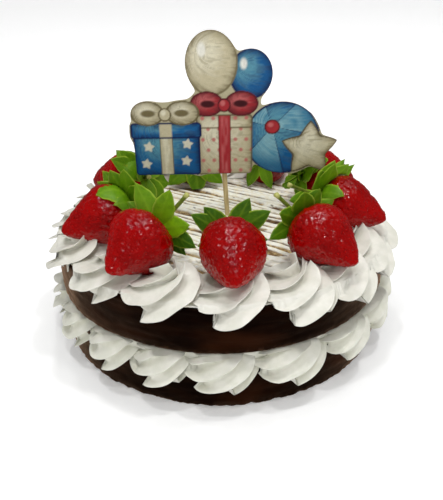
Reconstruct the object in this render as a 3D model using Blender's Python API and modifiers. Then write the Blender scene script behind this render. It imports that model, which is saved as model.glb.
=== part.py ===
# Two-layer chocolate cake with piped cream, nine glazed strawberries and a
# cut-out card topper on a wooden stick.  Units are metres, +Z is up, the origin
# is the centre of the cake's flat base, and the front of the cake faces -Y.
# Positions round the cake are given as an angle from the front, growing
# towards +X:  x = r*sin(angle), y = -r*cos(angle).

import math

import bmesh
import bpy
from mathutils import Matrix, Vector

MM = 0.001

# ---------------------------------------------------------------- dimensions
GAP = 0.3                 # clearance between pieces that touch
SEGMENTS = 44             # facets round each cake layer

R_LOWER = 100.0           # lower cake layer, radius
H_LOWER = 27.5            # lower cake layer, height
FILL_TOP = 34.5           # upper face of the cream filling
R_UPPER = 100.5           # upper cake layer, radius
Z_UPPER = FILL_TOP + GAP  # underside of the upper layer
TOP_UPPER = 61.4          # upper face of the upper layer
EDGE = 1.6                # softened edge of each layer
R_CREAM = 98.6            # cream spread over the top, radius
Z_CREAM = TOP_UPPER + GAP
TOP_CREAM = 63.0          # upper face of the spread cream

# piped rosettes on the rim
ROSETTE_RING = 88.0       # radius of the circle of rosette centres
ROSETTE_R = 22.6          # radius of one rosette before its neighbours press on it
ROSETTE_Z = 54.6          # lowest petals, hanging over the rim
ROSETTE_TOP = 76.0        # peaks
FIN_SAMPLES = 3
ROSETTE_ANGLES = [-90.0, -66.5, -43.5, -20.0, 2.5, 24.0, 43.5, 61.5, 80.0]
BACK_ROSETTES = 7         # evenly spaced round the back
ROSETTE_INNER = 67.5      # no cream of a rosette reaches further in than this
ROSETTE_OUTER = 110.0     # nor further out than this

# piped border between the layers
SWIRL_ANGLES = [-56.0, -37.0, -19.4, -1.0, 20.4, 42.2, 61.5]
BACK_SWIRLS = 11
SWIRL_REACH = 9.4        # how far the border stands out of the lower layer
SWIRL_DROP = 9.6         # how far its petals hang below the filling
SWIRL_COLUMNS = 5
SWIRL_WIDTH = [-1.0, -0.74, -0.22, 0.36, 0.80]   # columns across one swirl
SWIRL_ARCH = [0.0, 0.72, 0.98, 0.94, 0.62]       # how full it is at each

# strawberries:  angle, radius of tip, height of tip, tip-down tilt, yaw,
# length, width
BERRIES = [
    (3.9, 101.2, 75.8, 10.0, -0.4, 38.5, 34.4),
    (40.5, 103.4, 74.4, 16.5, -2.5, 38.9, 35.6),
    (73.0, 99.8, 74.8, 13.0, 0.0, 38.5, 35.2),
    (109.5, 92.5, 75.9, 12.0, -1.5, 38.5, 35.0),
    (153.5, 96.5, 76.3, 10.0, 3.0, 38.8, 35.4),
    (200.5, 94.0, 76.2, 10.0, 4.0, 38.2, 35.0),
    (249.0, 89.5, 75.9, 11.7, 0.0, 38.6, 35.0),
    (295.3, 98.2, 77.5, 7.5, -0.6, 40.0, 34.6),
    (325.5, 101.5, 75.2, 13.5, -2.5, 37.4, 36.4),
]
BERRY_SIDES = 12
# share of the length from the leafy end, share of the half width
BERRY_PROFILE = [
    (0.035, 0.0), (0.0, 0.36), (0.07, 0.78), (0.25, 1.0), (0.45, 0.95),
    (0.66, 0.74), (0.84, 0.45), (0.965, 0.16), (1.0, 0.0),
]

# leaves and stem of each strawberry:  leaves, leaf length, turn of the fan,
# stem length, stem azimuth relative to the inward direction, stem elevation
CALYXES = [
    (7, 21.0, 12.0, 12.0, 0.0, 8.0),
    (6, 20.5, 35.0, 21.0, -20.0, 38.0),
    (6, 21.5, 8.0, 23.0, -12.0, 22.0),
    (6, 20.0, 22.0, 15.0, 15.0, 25.0),
    (6, 19.5, 40.0, 13.0, -10.0, 20.0),
    (6, 20.5, 5.0, 12.0, 12.0, 28.0),
    (6, 21.0, 15.0, 15.0, 24.0, 14.0),
    (6, 21.0, 30.0, 12.0, 45.0, 22.0),
    (6, 21.5, 50.0, 24.0, 18.0, 40.0),
]
LEAF_THICK = 0.8
LEAF_SAMPLES = 4
HUB_R = 3.2
STEM_R = 1.25

# topper
STICK_R = 1.5
STICK_BOTTOM = 42.0
STICK_TOP = 136.0
STICK_X = 4.2             # where the stick leaves the cream
STICK_Y = 5.0
STICK_LEAN = -3.2         # degrees, towards -X
CARD_THICK = 1.2
CARD_BOTTOM = 91.0        # lowest point of the card
CARD_X = 5.0              # centre of the card
CARD_CELL = 2.8           # grid on which the card's outline is worked out


# ------------------------------------------------------------------ helpers
for old in list(bpy.data.objects):
    bpy.data.objects.remove(old, do_unlink=True)


def new_collection(name):
    coll = bpy.data.collections.new(name)
    bpy.context.scene.collection.children.link(coll)
    return coll


PARTS = new_collection("teddy_bear_cake")
CUTTERS = new_collection("cutters")


def material(name, rgb, roughness, metallic=0.0):
    mat = bpy.data.materials.new(name)
    mat.use_nodes = True
    shader = mat.node_tree.nodes["Principled BSDF"]
    shader.inputs["Base Color"].default_value = (*rgb, 1.0)
    shader.inputs["Roughness"].default_value = roughness
    shader.inputs["Metallic"].default_value = metallic
    return mat


CHOCOLATE = material("chocolate", (0.022, 0.010, 0.006), 0.45)
CREAM = material("cream", (0.80, 0.77, 0.70), 0.45)
CREAM_STREAKED = material("streaked_cream", (0.68, 0.60, 0.45), 0.55)
BERRY_RED = material("strawberry_red", (0.36, 0.004, 0.006), 0.22)
LEAF_GREEN = material("leaf_green", (0.07, 0.17, 0.012), 0.45)
WOOD = material("pale_wood", (0.58, 0.45, 0.27), 0.7)
CARD = material("printed_card", (0.05, 0.28, 0.50), 0.5)


def add(mesh, name, coll, mat=None):
    ob = bpy.data.objects.new(name, mesh)
    coll.objects.link(ob)
    if mat is not None:
        mesh.materials.append(mat)
    if coll is CUTTERS:
        ob.hide_render = True
        ob.display_type = "WIRE"
    return ob


def polar(angle, radius, z):
    a = math.radians(angle)
    return Vector((radius * math.sin(a), -radius * math.cos(a), z))


def turned(name, profile, steps, coll, mat=None):
    """A solid of revolution: profile of (radius, height) in millimetres that
    starts on the axis at the top and ends on the axis at the bottom."""
    mesh = bpy.data.meshes.new(name)
    mesh.from_pydata([(r * MM, 0.0, z * MM) for r, z in profile],
                     [(i, i + 1) for i in range(len(profile) - 1)], [])
    ob = add(mesh, name, coll, mat)
    screw = ob.modifiers.new("Screw", "SCREW")
    screw.axis = "Z"
    screw.angle = 2.0 * math.pi
    screw.steps = screw.render_steps = steps
    screw.use_merge_vertices = True
    screw.merge_threshold = 0.00001
    screw.use_smooth_shade = True
    return ob


def cut(ob, tool):
    mod = ob.modifiers.new("Cut", "BOOLEAN")
    mod.operation = "DIFFERENCE"
    mod.solver = "EXACT"
    mod.object = tool


def flatten_slivers(bm):
    """Two triangles on the same three corners enclose nothing, so both go.
    A diagonal that two pairs of triangles share is split for one of them."""
    while True:
        seen = {}
        twins = []
        for f in bm.faces:
            key = frozenset(v.index for v in f.verts)
            if key in seen:
                twins += [f, seen.pop(key)]
            else:
                seen[key] = f
        if not twins:
            break
        bmesh.ops.delete(bm, geom=twins, context="FACES_ONLY")
    bmesh.ops.delete(bm, geom=[e for e in bm.edges if not e.link_faces],
                     context="EDGES")
    bmesh.ops.delete(bm, geom=[v for v in bm.verts if not v.link_faces],
                     context="VERTS")
    for edge in [e for e in bm.edges if len(e.link_faces) == 4]:
        faces = list(edge.link_faces)
        first = faces[0]
        mate = max(faces[1:], key=lambda f: f.normal.dot(first.normal))
        a, b = edge.verts
        middle = bm.verts.new((a.co + b.co) / 2.0)
        for f in (first, mate):
            corners = list(f.verts)
            k = [n for n in range(3) if corners[n] in (a, b) and
                 corners[(n + 1) % 3] in (a, b)][0]
            p, q, r = corners[k], corners[(k + 1) % 3], corners[(k + 2) % 3]
            bm.faces.remove(f)
            bm.faces.new((p, middle, r))
            bm.faces.new((middle, q, r))


def settle(ob):
    """Turn an object with modifiers into a plain mesh and keep its largest
    body, so that no crumb is left where two cutters meet."""
    graph = bpy.context.evaluated_depsgraph_get()
    mesh = bpy.data.meshes.new_from_object(ob.evaluated_get(graph))
    ob.modifiers.clear()
    ob.data = mesh
    bm = bmesh.new()
    bm.from_mesh(mesh)
    bmesh.ops.remove_doubles(bm, verts=bm.verts, dist=0.000001)
    bmesh.ops.dissolve_degenerate(bm, edges=bm.edges, dist=0.000001)
    left = set(bm.verts)
    bodies = []
    while left:
        stack = [left.pop()]
        body = set(stack)
        while stack:
            for edge in stack.pop().link_edges:
                for v in edge.verts:
                    if v in left:
                        left.remove(v)
                        body.add(v)
                        stack.append(v)
        bodies.append(body)
    bodies.sort(key=len)
    for body in bodies[:-1]:
        bmesh.ops.delete(bm, geom=list(body), context="VERTS")
    bmesh.ops.triangulate(bm, faces=bm.faces, quad_method="FIXED",
                          ngon_method="EAR_CLIP")
    bm.verts.index_update()
    flatten_slivers(bm)
    bmesh.ops.recalc_face_normals(bm, faces=bm.faces)
    bm.to_mesh(mesh)
    bm.free()


def smooth(mesh, degrees=38.0):
    mesh.shade_smooth()
    mesh.set_sharp_from_angle(angle=math.radians(degrees))


def loft(name, rings, top, bottom, coll, mat):
    """Skin closed rings of equal length, lowest first, with a point closing
    each end.  A loft between unlike sections."""
    bm = bmesh.new()
    rows = [[bm.verts.new(p * MM) for p in ring] for ring in rings]
    n = len(rows[0])
    for low, high in zip(rows, rows[1:]):
        for i in range(n):
            k = (i + 1) % n
            bm.faces.new((low[i], low[k], high[k], high[i]))
    end = bm.verts.new(top * MM)
    start = bm.verts.new(bottom * MM)
    for i in range(n):
        k = (i + 1) % n
        bm.faces.new((rows[-1][i], rows[-1][k], end))
        bm.faces.new((rows[0][k], rows[0][i], start))
    bmesh.ops.triangulate(bm, faces=bm.faces)
    bmesh.ops.recalc_face_normals(bm, faces=bm.faces)
    mesh = bpy.data.meshes.new(name)
    bm.to_mesh(mesh)
    bm.free()
    return add(mesh, name, coll, mat)


def ring_angles(front, count):
    """The front angles, then `count` more spread evenly round the back."""
    angles = list(front)
    gap = (front[0] + 360.0 - front[-1]) / (count + 1)
    for k in range(count):
        angles.append(front[-1] + gap * (k + 1))
    return angles


def to_neighbours(angles, i):
    """Half of the angle to the next piece and to the one before."""
    n = len(angles)
    ahead = (angles[(i + 1) % n] - angles[i]) % 360.0
    behind = (angles[i] - angles[(i - 1) % n]) % 360.0
    return ahead / 2.0, behind / 2.0


# -------------------------------------------------------------- cake layers
def layer(name, radius, low, high):
    return turned(name, [(0, high), (radius - EDGE, high),
                         (radius, high - EDGE), (radius, low + EDGE),
                         (radius - EDGE, low), (0, low)],
                  SEGMENTS, PARTS, CHOCOLATE)


cake_lower = layer("cake_lower", R_LOWER, 0.0, H_LOWER)
cake_upper = layer("cake_upper", R_UPPER, Z_UPPER, TOP_UPPER)
cream_top = turned("cream_top", [(0, TOP_CREAM), (R_CREAM, TOP_CREAM),
                                 (R_CREAM, Z_CREAM), (0, Z_CREAM)],
                   SEGMENTS, PARTS, CREAM_STREAKED)


# ----------------------------------------- filling with its piped border
def filling():
    """One body of cream: the sheet between the layers and the swirls that
    hang from it round the outside."""
    angles = ring_angles(SWIRL_ANGLES, BACK_SWIRLS)
    wall, lip, belly, shoulder, rim = [], [], [], [], []
    inner = R_LOWER + GAP
    for i, a in enumerate(angles):
        ahead, behind = to_neighbours(angles, i)
        lift = 0.5 + 0.5 * math.sin(2.3 * i)
        for k in range(SWIRL_COLUMNS):
            w = SWIRL_WIDTH[k]
            ang = a + (ahead if w > 0 else behind) * w
            arch = SWIRL_ARCH[k]
            ridge = (k % 2) * 1.0
            reach = SWIRL_REACH * (0.16 + 0.84 * arch)
            low = H_LOWER + GAP - SWIRL_DROP * (0.10 + 0.90 * arch)
            low += 1.3 * lift * arch - 1.0 * ridge
            wall.append(polar(ang, inner, H_LOWER + GAP))
            lip.append(polar(ang, inner, low + 1.6))
            belly.append(polar(ang, inner + 0.86 * reach - 1.2 * ridge, low))
            shoulder.append(polar(ang, inner + reach + 0.8 * ridge,
                                  low + 0.42 * (FILL_TOP - low)))
            rim.append(polar(ang, inner + 0.36 * reach, FILL_TOP))
    ob = loft("cream_filling", [wall, lip, belly, shoulder, rim],
              Vector((0, 0, FILL_TOP)), Vector((0, 0, H_LOWER + GAP)),
              PARTS, CREAM)
    smooth(ob.data)
    return ob


cream_filling = filling()


# ------------------------------------------------------- strawberry solids
def berry_matrix(spec):
    """Places a berry whose tip is at its own origin and whose leafy end is
    along its own +Z."""
    angle, r_tip, z_tip, tilt, yaw, length, width = spec
    heading = math.radians(angle + yaw)
    t = math.radians(tilt)
    outward = Vector((math.sin(heading) * math.cos(t),
                      -math.cos(heading) * math.cos(t), -math.sin(t)))
    turn = (-outward).to_track_quat("Z", "Y")
    return Matrix.Translation(polar(angle, r_tip, z_tip) * MM) @ turn.to_matrix().to_4x4()


def berry(name, spec, grow, coll, mat=None):
    length, width = spec[5], spec[6]
    profile = []
    for s, w in BERRY_PROFILE:
        z = length * (1.0 - s)
        z += grow * (1.0 - 2.0 * s)          # longer at both ends
        r = width / 2.0 * w + (grow if w > 0 else 0.0)
        profile.append((r, z))
    ob = turned(name, profile, BERRY_SIDES, coll, mat)
    ob.matrix_world = berry_matrix(spec)
    return ob


berries = [berry("strawberry_%02d" % (i + 1), spec, 0.0, PARTS, BERRY_RED)
           for i, spec in enumerate(BERRIES)]
berry_tools = [berry("berry_hollow_%02d" % (i + 1), spec, 0.5, CUTTERS)
               for i, spec in enumerate(BERRIES)]

# ------------------------------------------------------------ rim rosettes
rim_tool = turned("rim_corner", [(0, TOP_CREAM + GAP),
                                 (R_UPPER + GAP, TOP_CREAM + GAP),
                                 (R_UPPER + GAP, Z_UPPER), (0, Z_UPPER)],
                  SEGMENTS, CUTTERS)

#           height share, outer radius share, depth of the valleys, twist
ROSETTE_ROWS = [(0.00, 0.82, 0.20, 0.0),
                (0.22, 1.00, 0.26, 40.0),
                (0.55, 0.86, 0.32, 105.0),
                (0.84, 0.50, 0.38, 158.0),
                (1.00, 0.28, 0.42, 182.0)]
FIN = [1.0, 0.0, 0.62]         # crest, deep valley, then a slow rise


def rosette(i, angles):
    angle = angles[i]
    ahead, behind = to_neighbours(angles, i)
    ring = ROSETTE_RING + 0.8 * math.sin(2.1 * i)
    size = ROSETTE_R * (1.0 + 0.02 * math.sin(1.7 * i + 0.6))
    top = ROSETTE_TOP + 1.2 * math.sin(2.9 * i + 1.1)
    fins = 6
    start = 17.0 * i
    centre = polar(angle, ring, 0.0)
    tangent = math.radians(angle)
    along = Vector((math.cos(tangent), math.sin(tangent), 0.0))
    out = Vector((math.sin(tangent), -math.cos(tangent), 0.0))
    walls = []
    for sign, half in ((1.0, ahead), (-1.0, behind)):
        h = math.radians(half)
        normal = sign * math.cos(h) * along - math.sin(h) * out
        walls.append((normal, ring * math.sin(h) - GAP / 2.0))
    rings = []
    count = fins * FIN_SAMPLES
    for t, wide, deep, twist in ROSETTE_ROWS:
        row = []
        for k in range(count):
            crest = FIN[k % FIN_SAMPLES]
            phi = math.radians(360.0 * k / count + twist + start)
            ray = Vector((math.cos(phi), math.sin(phi), 0.0))
            r = size * wide * (1.0 - deep * (1.0 - crest))
            for normal, room in walls:
                facing = ray.dot(normal)
                if facing > 1e-6:
                    r = min(r, room / facing)
            # stay clear of the open middle of the cake, and end at the rim
            outward = ray.dot(out)
            if outward < -1e-6:
                r = min(r, (ROSETTE_INNER - ring) / outward)
            elif outward > 1e-6:
                r = min(r, (ROSETTE_OUTER - ring) / outward)
            z = ROSETTE_Z + t * (top - ROSETTE_Z)
            z += (1.6 * t - 0.7) * crest
            row.append(centre + ray * r + Vector((0, 0, z)))
        rings.append(row)
    name = "rosette_%02d" % (i + 1)
    ob = loft(name, rings, centre + Vector((0, 0, top - 2.6)),
              centre + Vector((0, 0, ROSETTE_Z + 0.8)), PARTS, CREAM)
    cut(ob, rim_tool)
    for tool, spec in zip(berry_tools, BERRIES):
        away = abs((spec[0] - angle + 180.0) % 360.0 - 180.0)
        if away < 48.0:
            cut(ob, tool)
    return ob


rosette_angles = ring_angles(ROSETTE_ANGLES, BACK_ROSETTES)
rosettes = [rosette(i, rosette_angles) for i in range(len(rosette_angles))]
for ob in rosettes:
    settle(ob)
    smooth(ob.data)


# ---------------------------------------------------- leaves and stems
def calyx(i):
    spec = BERRIES[i]
    leaves, leaf_len, turn, stem_len, stem_side, stem_up = CALYXES[i]
    angle, r_tip, z_tip, tilt, yaw, length, width = spec
    frame = berry_matrix(spec)
    frame.translation = frame.translation / MM
    axis = (frame.to_3x3() @ Vector((0, 0, 1))).normalized()
    hub = frame @ Vector((0, 0, length))
    side = axis.cross(Vector((0, 0, 1))).normalized()
    up = side.cross(axis).normalized()
    order = sorted(range(len(BERRIES)), key=lambda n: BERRIES[n][0] % 360.0)
    spots = [BERRIES[n][0] % 360.0 for n in order]
    ahead, behind = to_neighbours(spots, order.index(i))
    tangent = math.radians(angle)
    along = Vector((math.cos(tangent), math.sin(tangent), 0.0))
    out = Vector((math.sin(tangent), -math.cos(tangent), 0.0))
    walls = []
    for sign, half in ((1.0, ahead), (-1.0, behind)):
        h = math.radians(half)
        walls.append(sign * math.cos(h) * along - math.sin(h) * out)
    count = leaves * LEAF_SAMPLES
    blade = [1.0, 0.66, 0.0, 0.66]       # tip, flank, notch, flank
    spread = [0.0, 0.33, 0.5, 0.67]      # their places within one leaf's share

    base = 0.45

    def star(lift):
        row = []
        for k in range(count):
            leaf = k // LEAF_SAMPLES + spread[k % LEAF_SAMPLES]
            psi = math.radians(360.0 * leaf / leaves + turn)
            ray = side * math.cos(psi) + up * math.sin(psi)
            share = blade[k % LEAF_SAMPLES]
            r = HUB_R + (leaf_len - HUB_R) * share
            while r > HUB_R:
                # leaves bow away from the berry, and stop short of the
                # neighbours' leaves and of the cream below
                p = hub + ray * r + axis * (base + 0.10 * r + 0.004 * r * r)
                worst = max(p.dot(n) for n in walls)
                if worst < -0.9 and p.z > TOP_CREAM + 0.9:
                    break
                r -= 0.4
            r = max(r, HUB_R + 0.6 * share)
            row.append(hub + ray * r +
                       axis * (base + lift + 0.10 * r + 0.004 * r * r))
        return row

    under_tip = star(0.0)
    over_tip = star(LEAF_THICK)
    # stem: leaves the hub along the axis, then bends to its own heading
    inward = math.radians(angle + 180.0 + stem_side)
    e = math.radians(stem_up)
    heading = Vector((math.sin(inward) * math.cos(e),
                      -math.cos(inward) * math.cos(e), math.sin(e)))

    def stem_ring(share, radius):
        bend = share * share
        axis_now = (axis * (1.0 - bend) + heading * bend).normalized()
        centre = (hub + axis * (base + LEAF_THICK + 0.9) +
                  (axis * (share - 0.5 * bend) + heading * 0.5 * bend +
                   (heading - axis) * 0.35 * bend) * stem_len)
        x = axis_now.cross(up).normalized()
        y = x.cross(axis_now).normalized()
        row = []
        for k in range(count):
            psi = math.radians(360.0 * k / count + turn)
            row.append(centre + (x * math.cos(psi) + y * math.sin(psi)) * radius)
        return row

    rings = [under_tip, over_tip, stem_ring(0.0, STEM_R + 0.7),
             stem_ring(1.0, STEM_R)]
    tip = Vector((0, 0, 0))
    for p in rings[-1]:
        tip += p
    tip = tip / count
    ob = loft("calyx_%02d" % (i + 1), rings, tip, hub + axis * base,
              PARTS, LEAF_GREEN)
    smooth(ob.data)
    return ob


calyxes = [calyx(i) for i in range(len(BERRIES))]


# ---------------------------------------------------------------- topper
def stick_matrix():
    lean = Matrix.Rotation(math.radians(STICK_LEAN), 4, "Y")
    foot = Vector((STICK_X, STICK_Y, TOP_CREAM)) * MM
    return Matrix.Translation(foot) @ lean


def rod(name, radius, low, high, coll, mat=None):
    depth = (high - low) * MM
    bpy.ops.mesh.primitive_cylinder_add(vertices=16, radius=radius * MM,
                                        depth=depth)
    ob = bpy.context.active_object
    ob.name = name
    ob.data.name = name
    for owner in list(ob.users_collection):
        owner.objects.unlink(ob)
    coll.objects.link(ob)
    middle = ((low + high) / 2.0 - TOP_CREAM) * MM
    ob.matrix_world = stick_matrix() @ Matrix.Translation((0, 0, middle))
    if mat is not None:
        ob.data.materials.append(mat)
    if coll is CUTTERS:
        ob.hide_render = True
        ob.display_type = "WIRE"
    return ob


topper_stick = rod("topper_stick", STICK_R, STICK_BOTTOM, STICK_TOP, PARTS, WOOD)
smooth(topper_stick.data)
stick_hole = rod("stick_hole", STICK_R + GAP, STICK_BOTTOM - GAP,
                 TOP_CREAM + 20.0, CUTTERS)
cut(cream_top, stick_hole)
cut(cake_upper, stick_hole)


def disc(x, z, cx, cz, rx, rz):
    """Signed distance, near enough, to an ellipse."""
    q = math.hypot((x - cx) / rx, (z - cz) / rz)
    return (q - 1.0) * min(rx, rz)


def box(x, z, x0, x1, z0, z1, r):
    dx = abs(x - (x0 + x1) / 2.0) - (x1 - x0) / 2.0 + r
    dz = abs(z - (z0 + z1) / 2.0) - (z1 - z0) / 2.0 + r
    return math.hypot(max(dx, 0.0), max(dz, 0.0)) + min(max(dx, dz), 0.0) - r


def star5(x, z, cx, cz, radius, turn):
    a = math.atan2(z - cz, x - cx) + turn
    sector = 2.0 * math.pi / 5.0
    w = abs((a % sector) - sector / 2.0) / (sector / 2.0)
    edge = radius * (0.60 + 0.40 * w ** 1.6)
    return (math.hypot(x - cx, z - cz) - edge) * 0.8


def card_shape(x, z):
    """Outline of the cut-out, from its own centre line and lowest point: two
    wrapped presents, two balloons, a big ball and a star."""
    parts = [
        box(x, z, -55.5, -17.0, 1.0, 29.0, 2.0),      # wide present
        box(x, z, -56.6, -16.0, 24.0, 32.5, 1.6),     # its lid
        disc(x, z, -46.5, 38.5, 9.5, 7.0),            # its bow
        disc(x, z, -27.0, 38.5, 9.5, 7.0),
        disc(x, z, -36.5, 36.0, 5.0, 6.0),
        box(x, z, -18.0, 14.0, 1.0, 37.0, 2.0),       # tall present
        disc(x, z, -12.0, 43.5, 9.5, 7.0),            # its bow
        disc(x, z, 8.0, 43.5, 9.5, 7.0),
        disc(x, z, -2.0, 44.0, 7.0, 8.0),
        disc(x, z, 32.0, 22.5, 21.5, 21.5),           # ball
        disc(x, z, -9.0, 66.2, 14.5, 17.5),           # balloons
        disc(x, z, 13.5, 60.0, 12.0, 13.5),
        star5(x, z, 48.5, 15.5, 17.0, math.radians(-90.0)),
    ]
    k = 2.2                                        # rounds the inner corners
    total = sum(math.exp(-d / k) for d in parts)
    return -k * math.log(max(total, 1e-12))


def outline(field, x0, x1, z0, z1, cell):
    """The zero line of a field on a grid, as one closed loop of points."""
    nx = int(round((x1 - x0) / cell))
    nz = int(round((z1 - z0) / cell))
    value = [[field(x0 + i * cell, z0 + j * cell) for j in range(nz + 1)]
             for i in range(nx + 1)]
    links = {}

    def point(i, j, k, m):
        a, b = value[i][j], value[k][m]
        t = min(0.93, max(0.07, a / (a - b)))
        return (x0 + (i + (k - i) * t) * cell, z0 + (j + (m - j) * t) * cell)

    for i in range(nx):
        for j in range(nz):
            corner = [(i, j), (i + 1, j), (i + 1, j + 1), (i, j + 1)]
            inside = [value[p][q] < 0.0 for p, q in corner]
            marks = []
            for n in range(4):
                m = (n + 1) % 4
                if inside[n] != inside[m]:
                    key = tuple(sorted((corner[n], corner[m])))
                    marks.append((key, inside[n]))
            if len(marks) == 2:
                leave = [k for k, s in marks if s][0]
                enter = [k for k, s in marks if not s][0]
                links[leave] = enter
    loops = []
    while links:
        key, nxt = next(iter(links.items()))
        loop = [key]
        del links[key]
        while nxt in links:
            loop.append(nxt)
            step = links.pop(nxt)
            nxt = step
        loops.append(loop)
    loop = max(loops, key=len)
    pts = [point(*a, *b) for a, b in loop]
    # drop points that lie on a nearly straight run
    keep = []
    n = len(pts)
    for k in range(n):
        p, q, r = pts[k - 1], pts[k], pts[(k + 1) % n]
        if keep:
            p = keep[-1]
        area = abs((q[0] - p[0]) * (r[1] - p[1]) - (q[1] - p[1]) * (r[0] - p[0]))
        if area > 0.18 * cell * cell:
            keep.append(q)
    return keep


def card():
    loop = outline(card_shape, -64.0, 72.0, -4.0, 92.0, CARD_CELL)
    front = STICK_Y - (STICK_R + GAP + CARD_THICK)
    bm = bmesh.new()
    ring = [bm.verts.new(((CARD_X + x) * MM, front * MM, (CARD_BOTTOM + z) * MM))
            for x, z in loop]
    face = bm.faces.new(ring)
    made = bmesh.ops.extrude_face_region(bm, geom=[face])
    back = [v for v in made["geom"] if isinstance(v, bmesh.types.BMVert)]
    bmesh.ops.translate(bm, verts=back, vec=(0.0, CARD_THICK * MM, 0.0))
    bmesh.ops.triangulate(bm, faces=bm.faces)
    bmesh.ops.recalc_face_normals(bm, faces=bm.faces)
    mesh = bpy.data.meshes.new("topper_card")
    bm.to_mesh(mesh)
    bm.free()
    return add(mesh, "topper_card", PARTS, CARD)


topper_card = card()
bpy.context.view_layer.update()
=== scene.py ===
import math

import bpy
import numpy as np
from mathutils import Matrix, Vector


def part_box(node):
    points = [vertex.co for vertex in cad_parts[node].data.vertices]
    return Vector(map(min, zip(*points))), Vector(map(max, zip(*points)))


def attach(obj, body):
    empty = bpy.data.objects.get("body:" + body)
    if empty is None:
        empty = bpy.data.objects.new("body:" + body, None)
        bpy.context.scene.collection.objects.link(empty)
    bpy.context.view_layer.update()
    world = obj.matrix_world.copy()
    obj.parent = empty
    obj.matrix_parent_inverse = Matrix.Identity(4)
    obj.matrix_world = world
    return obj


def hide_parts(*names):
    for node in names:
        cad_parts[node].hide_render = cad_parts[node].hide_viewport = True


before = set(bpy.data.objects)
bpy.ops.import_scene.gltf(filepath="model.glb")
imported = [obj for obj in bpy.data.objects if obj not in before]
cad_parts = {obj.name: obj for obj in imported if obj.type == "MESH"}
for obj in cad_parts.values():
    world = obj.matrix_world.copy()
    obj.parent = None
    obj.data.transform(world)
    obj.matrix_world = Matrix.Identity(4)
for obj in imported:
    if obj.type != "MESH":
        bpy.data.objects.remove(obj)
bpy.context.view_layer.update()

# Looks of the cake.  Lengths are in millimetres until a mesh is made.  Angles
# round the cake are from the front (-Y), growing towards +X.
MM = 0.001

# ------------------------------------------------------------- named sizes
R_LOWER, H_LOWER = 100.0, 27.5
R_UPPER, Z_UPPER, TOP_UPPER = 100.5, 34.8, 61.4
TOP_CREAM = 63.0
REACH = 109.4                  # nothing stands out further than this

BERRIES = [   # angle, radius of tip, height of tip, tilt, yaw, length, width
    (3.9, 101.2, 75.8, 10.0, -0.4, 38.5, 34.4),
    (40.5, 103.2, 73.2, 16.5, -2.5, 38.9, 33.6),
    (73.0, 99.6, 74.8, 13.0, 0.0, 38.5, 33.6),
    (109.5, 92.5, 75.9, 12.0, -1.5, 38.5, 35.0),
    (153.5, 96.5, 76.3, 10.0, 3.0, 38.8, 35.4),
    (200.5, 94.0, 76.2, 10.0, 4.0, 38.2, 35.0),
    (249.0, 89.5, 75.9, 11.7, 0.0, 38.6, 35.0),
    (295.3, 98.2, 77.3, 7.5, -0.6, 40.0, 32.8),
    (325.5, 101.8, 74.6, 14.5, -5.0, 38.0, 35.8),
]
#  how much slimmer each berry's tip is than the plain shape
TAPER = [0.13, 0.20, 0.22, 0.10, 0.10, 0.10, 0.12, 0.22, 0.30]


# ------------------------------------------------------------------ noise
def lattice(i, seed):
    i = i.astype(np.int64)
    h = (i[..., 0] * 73856093 ^ i[..., 1] * 19349663 ^ i[..., 2] * 83492791 ^
         (seed * 2654435761)) & 0xFFFFFFFF
    h = h.astype(np.uint32)
    h ^= h >> np.uint32(16)
    h *= np.uint32(0x7FEB352D)
    h ^= h >> np.uint32(15)
    h *= np.uint32(0x846CA68B)
    h ^= h >> np.uint32(16)
    return h.astype(np.float64) / 2147483647.5 - 1.0


def noise(p, scale, seed=0):
    """Smooth value noise between -1 and 1 at points p of shape (..., 3)."""
    q = np.asarray(p, float) / np.asarray(scale, float)
    i = np.floor(q)
    f = q - i
    f = f * f * f * (f * (f * 6.0 - 15.0) + 10.0)
    total = np.zeros(q.shape[:-1])
    for dx in (0, 1):
        wx = f[..., 0] if dx else 1.0 - f[..., 0]
        for dy in (0, 1):
            wy = f[..., 1] if dy else 1.0 - f[..., 1]
            for dz in (0, 1):
                wz = f[..., 2] if dz else 1.0 - f[..., 2]
                total += wx * wy * wz * lattice(i + (dx, dy, dz), seed)
    return total


def fbm(p, scale, octaves=3, seed=0):
    total, amp, norm = 0.0, 1.0, 0.0
    for k in range(octaves):
        total = total + amp * noise(p, np.asarray(scale, float) / 2 ** k, seed + 17 * k)
        norm += amp
        amp *= 0.5
    return total / norm


def step(x, a, b):
    t = np.clip((np.asarray(x, float) - a) / (b - a), 0.0, 1.0)
    return t * t * (3.0 - 2.0 * t)


def unit(v):
    v = np.asarray(v, float)
    return v / np.maximum(np.linalg.norm(v, axis=-1, keepdims=True), 1e-12)


def polar(angle, radius, z):
    a = np.radians(angle)
    return np.stack(np.broadcast_arrays(radius * np.sin(a), -radius * np.cos(a), z),
                    axis=-1).astype(float)


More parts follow.
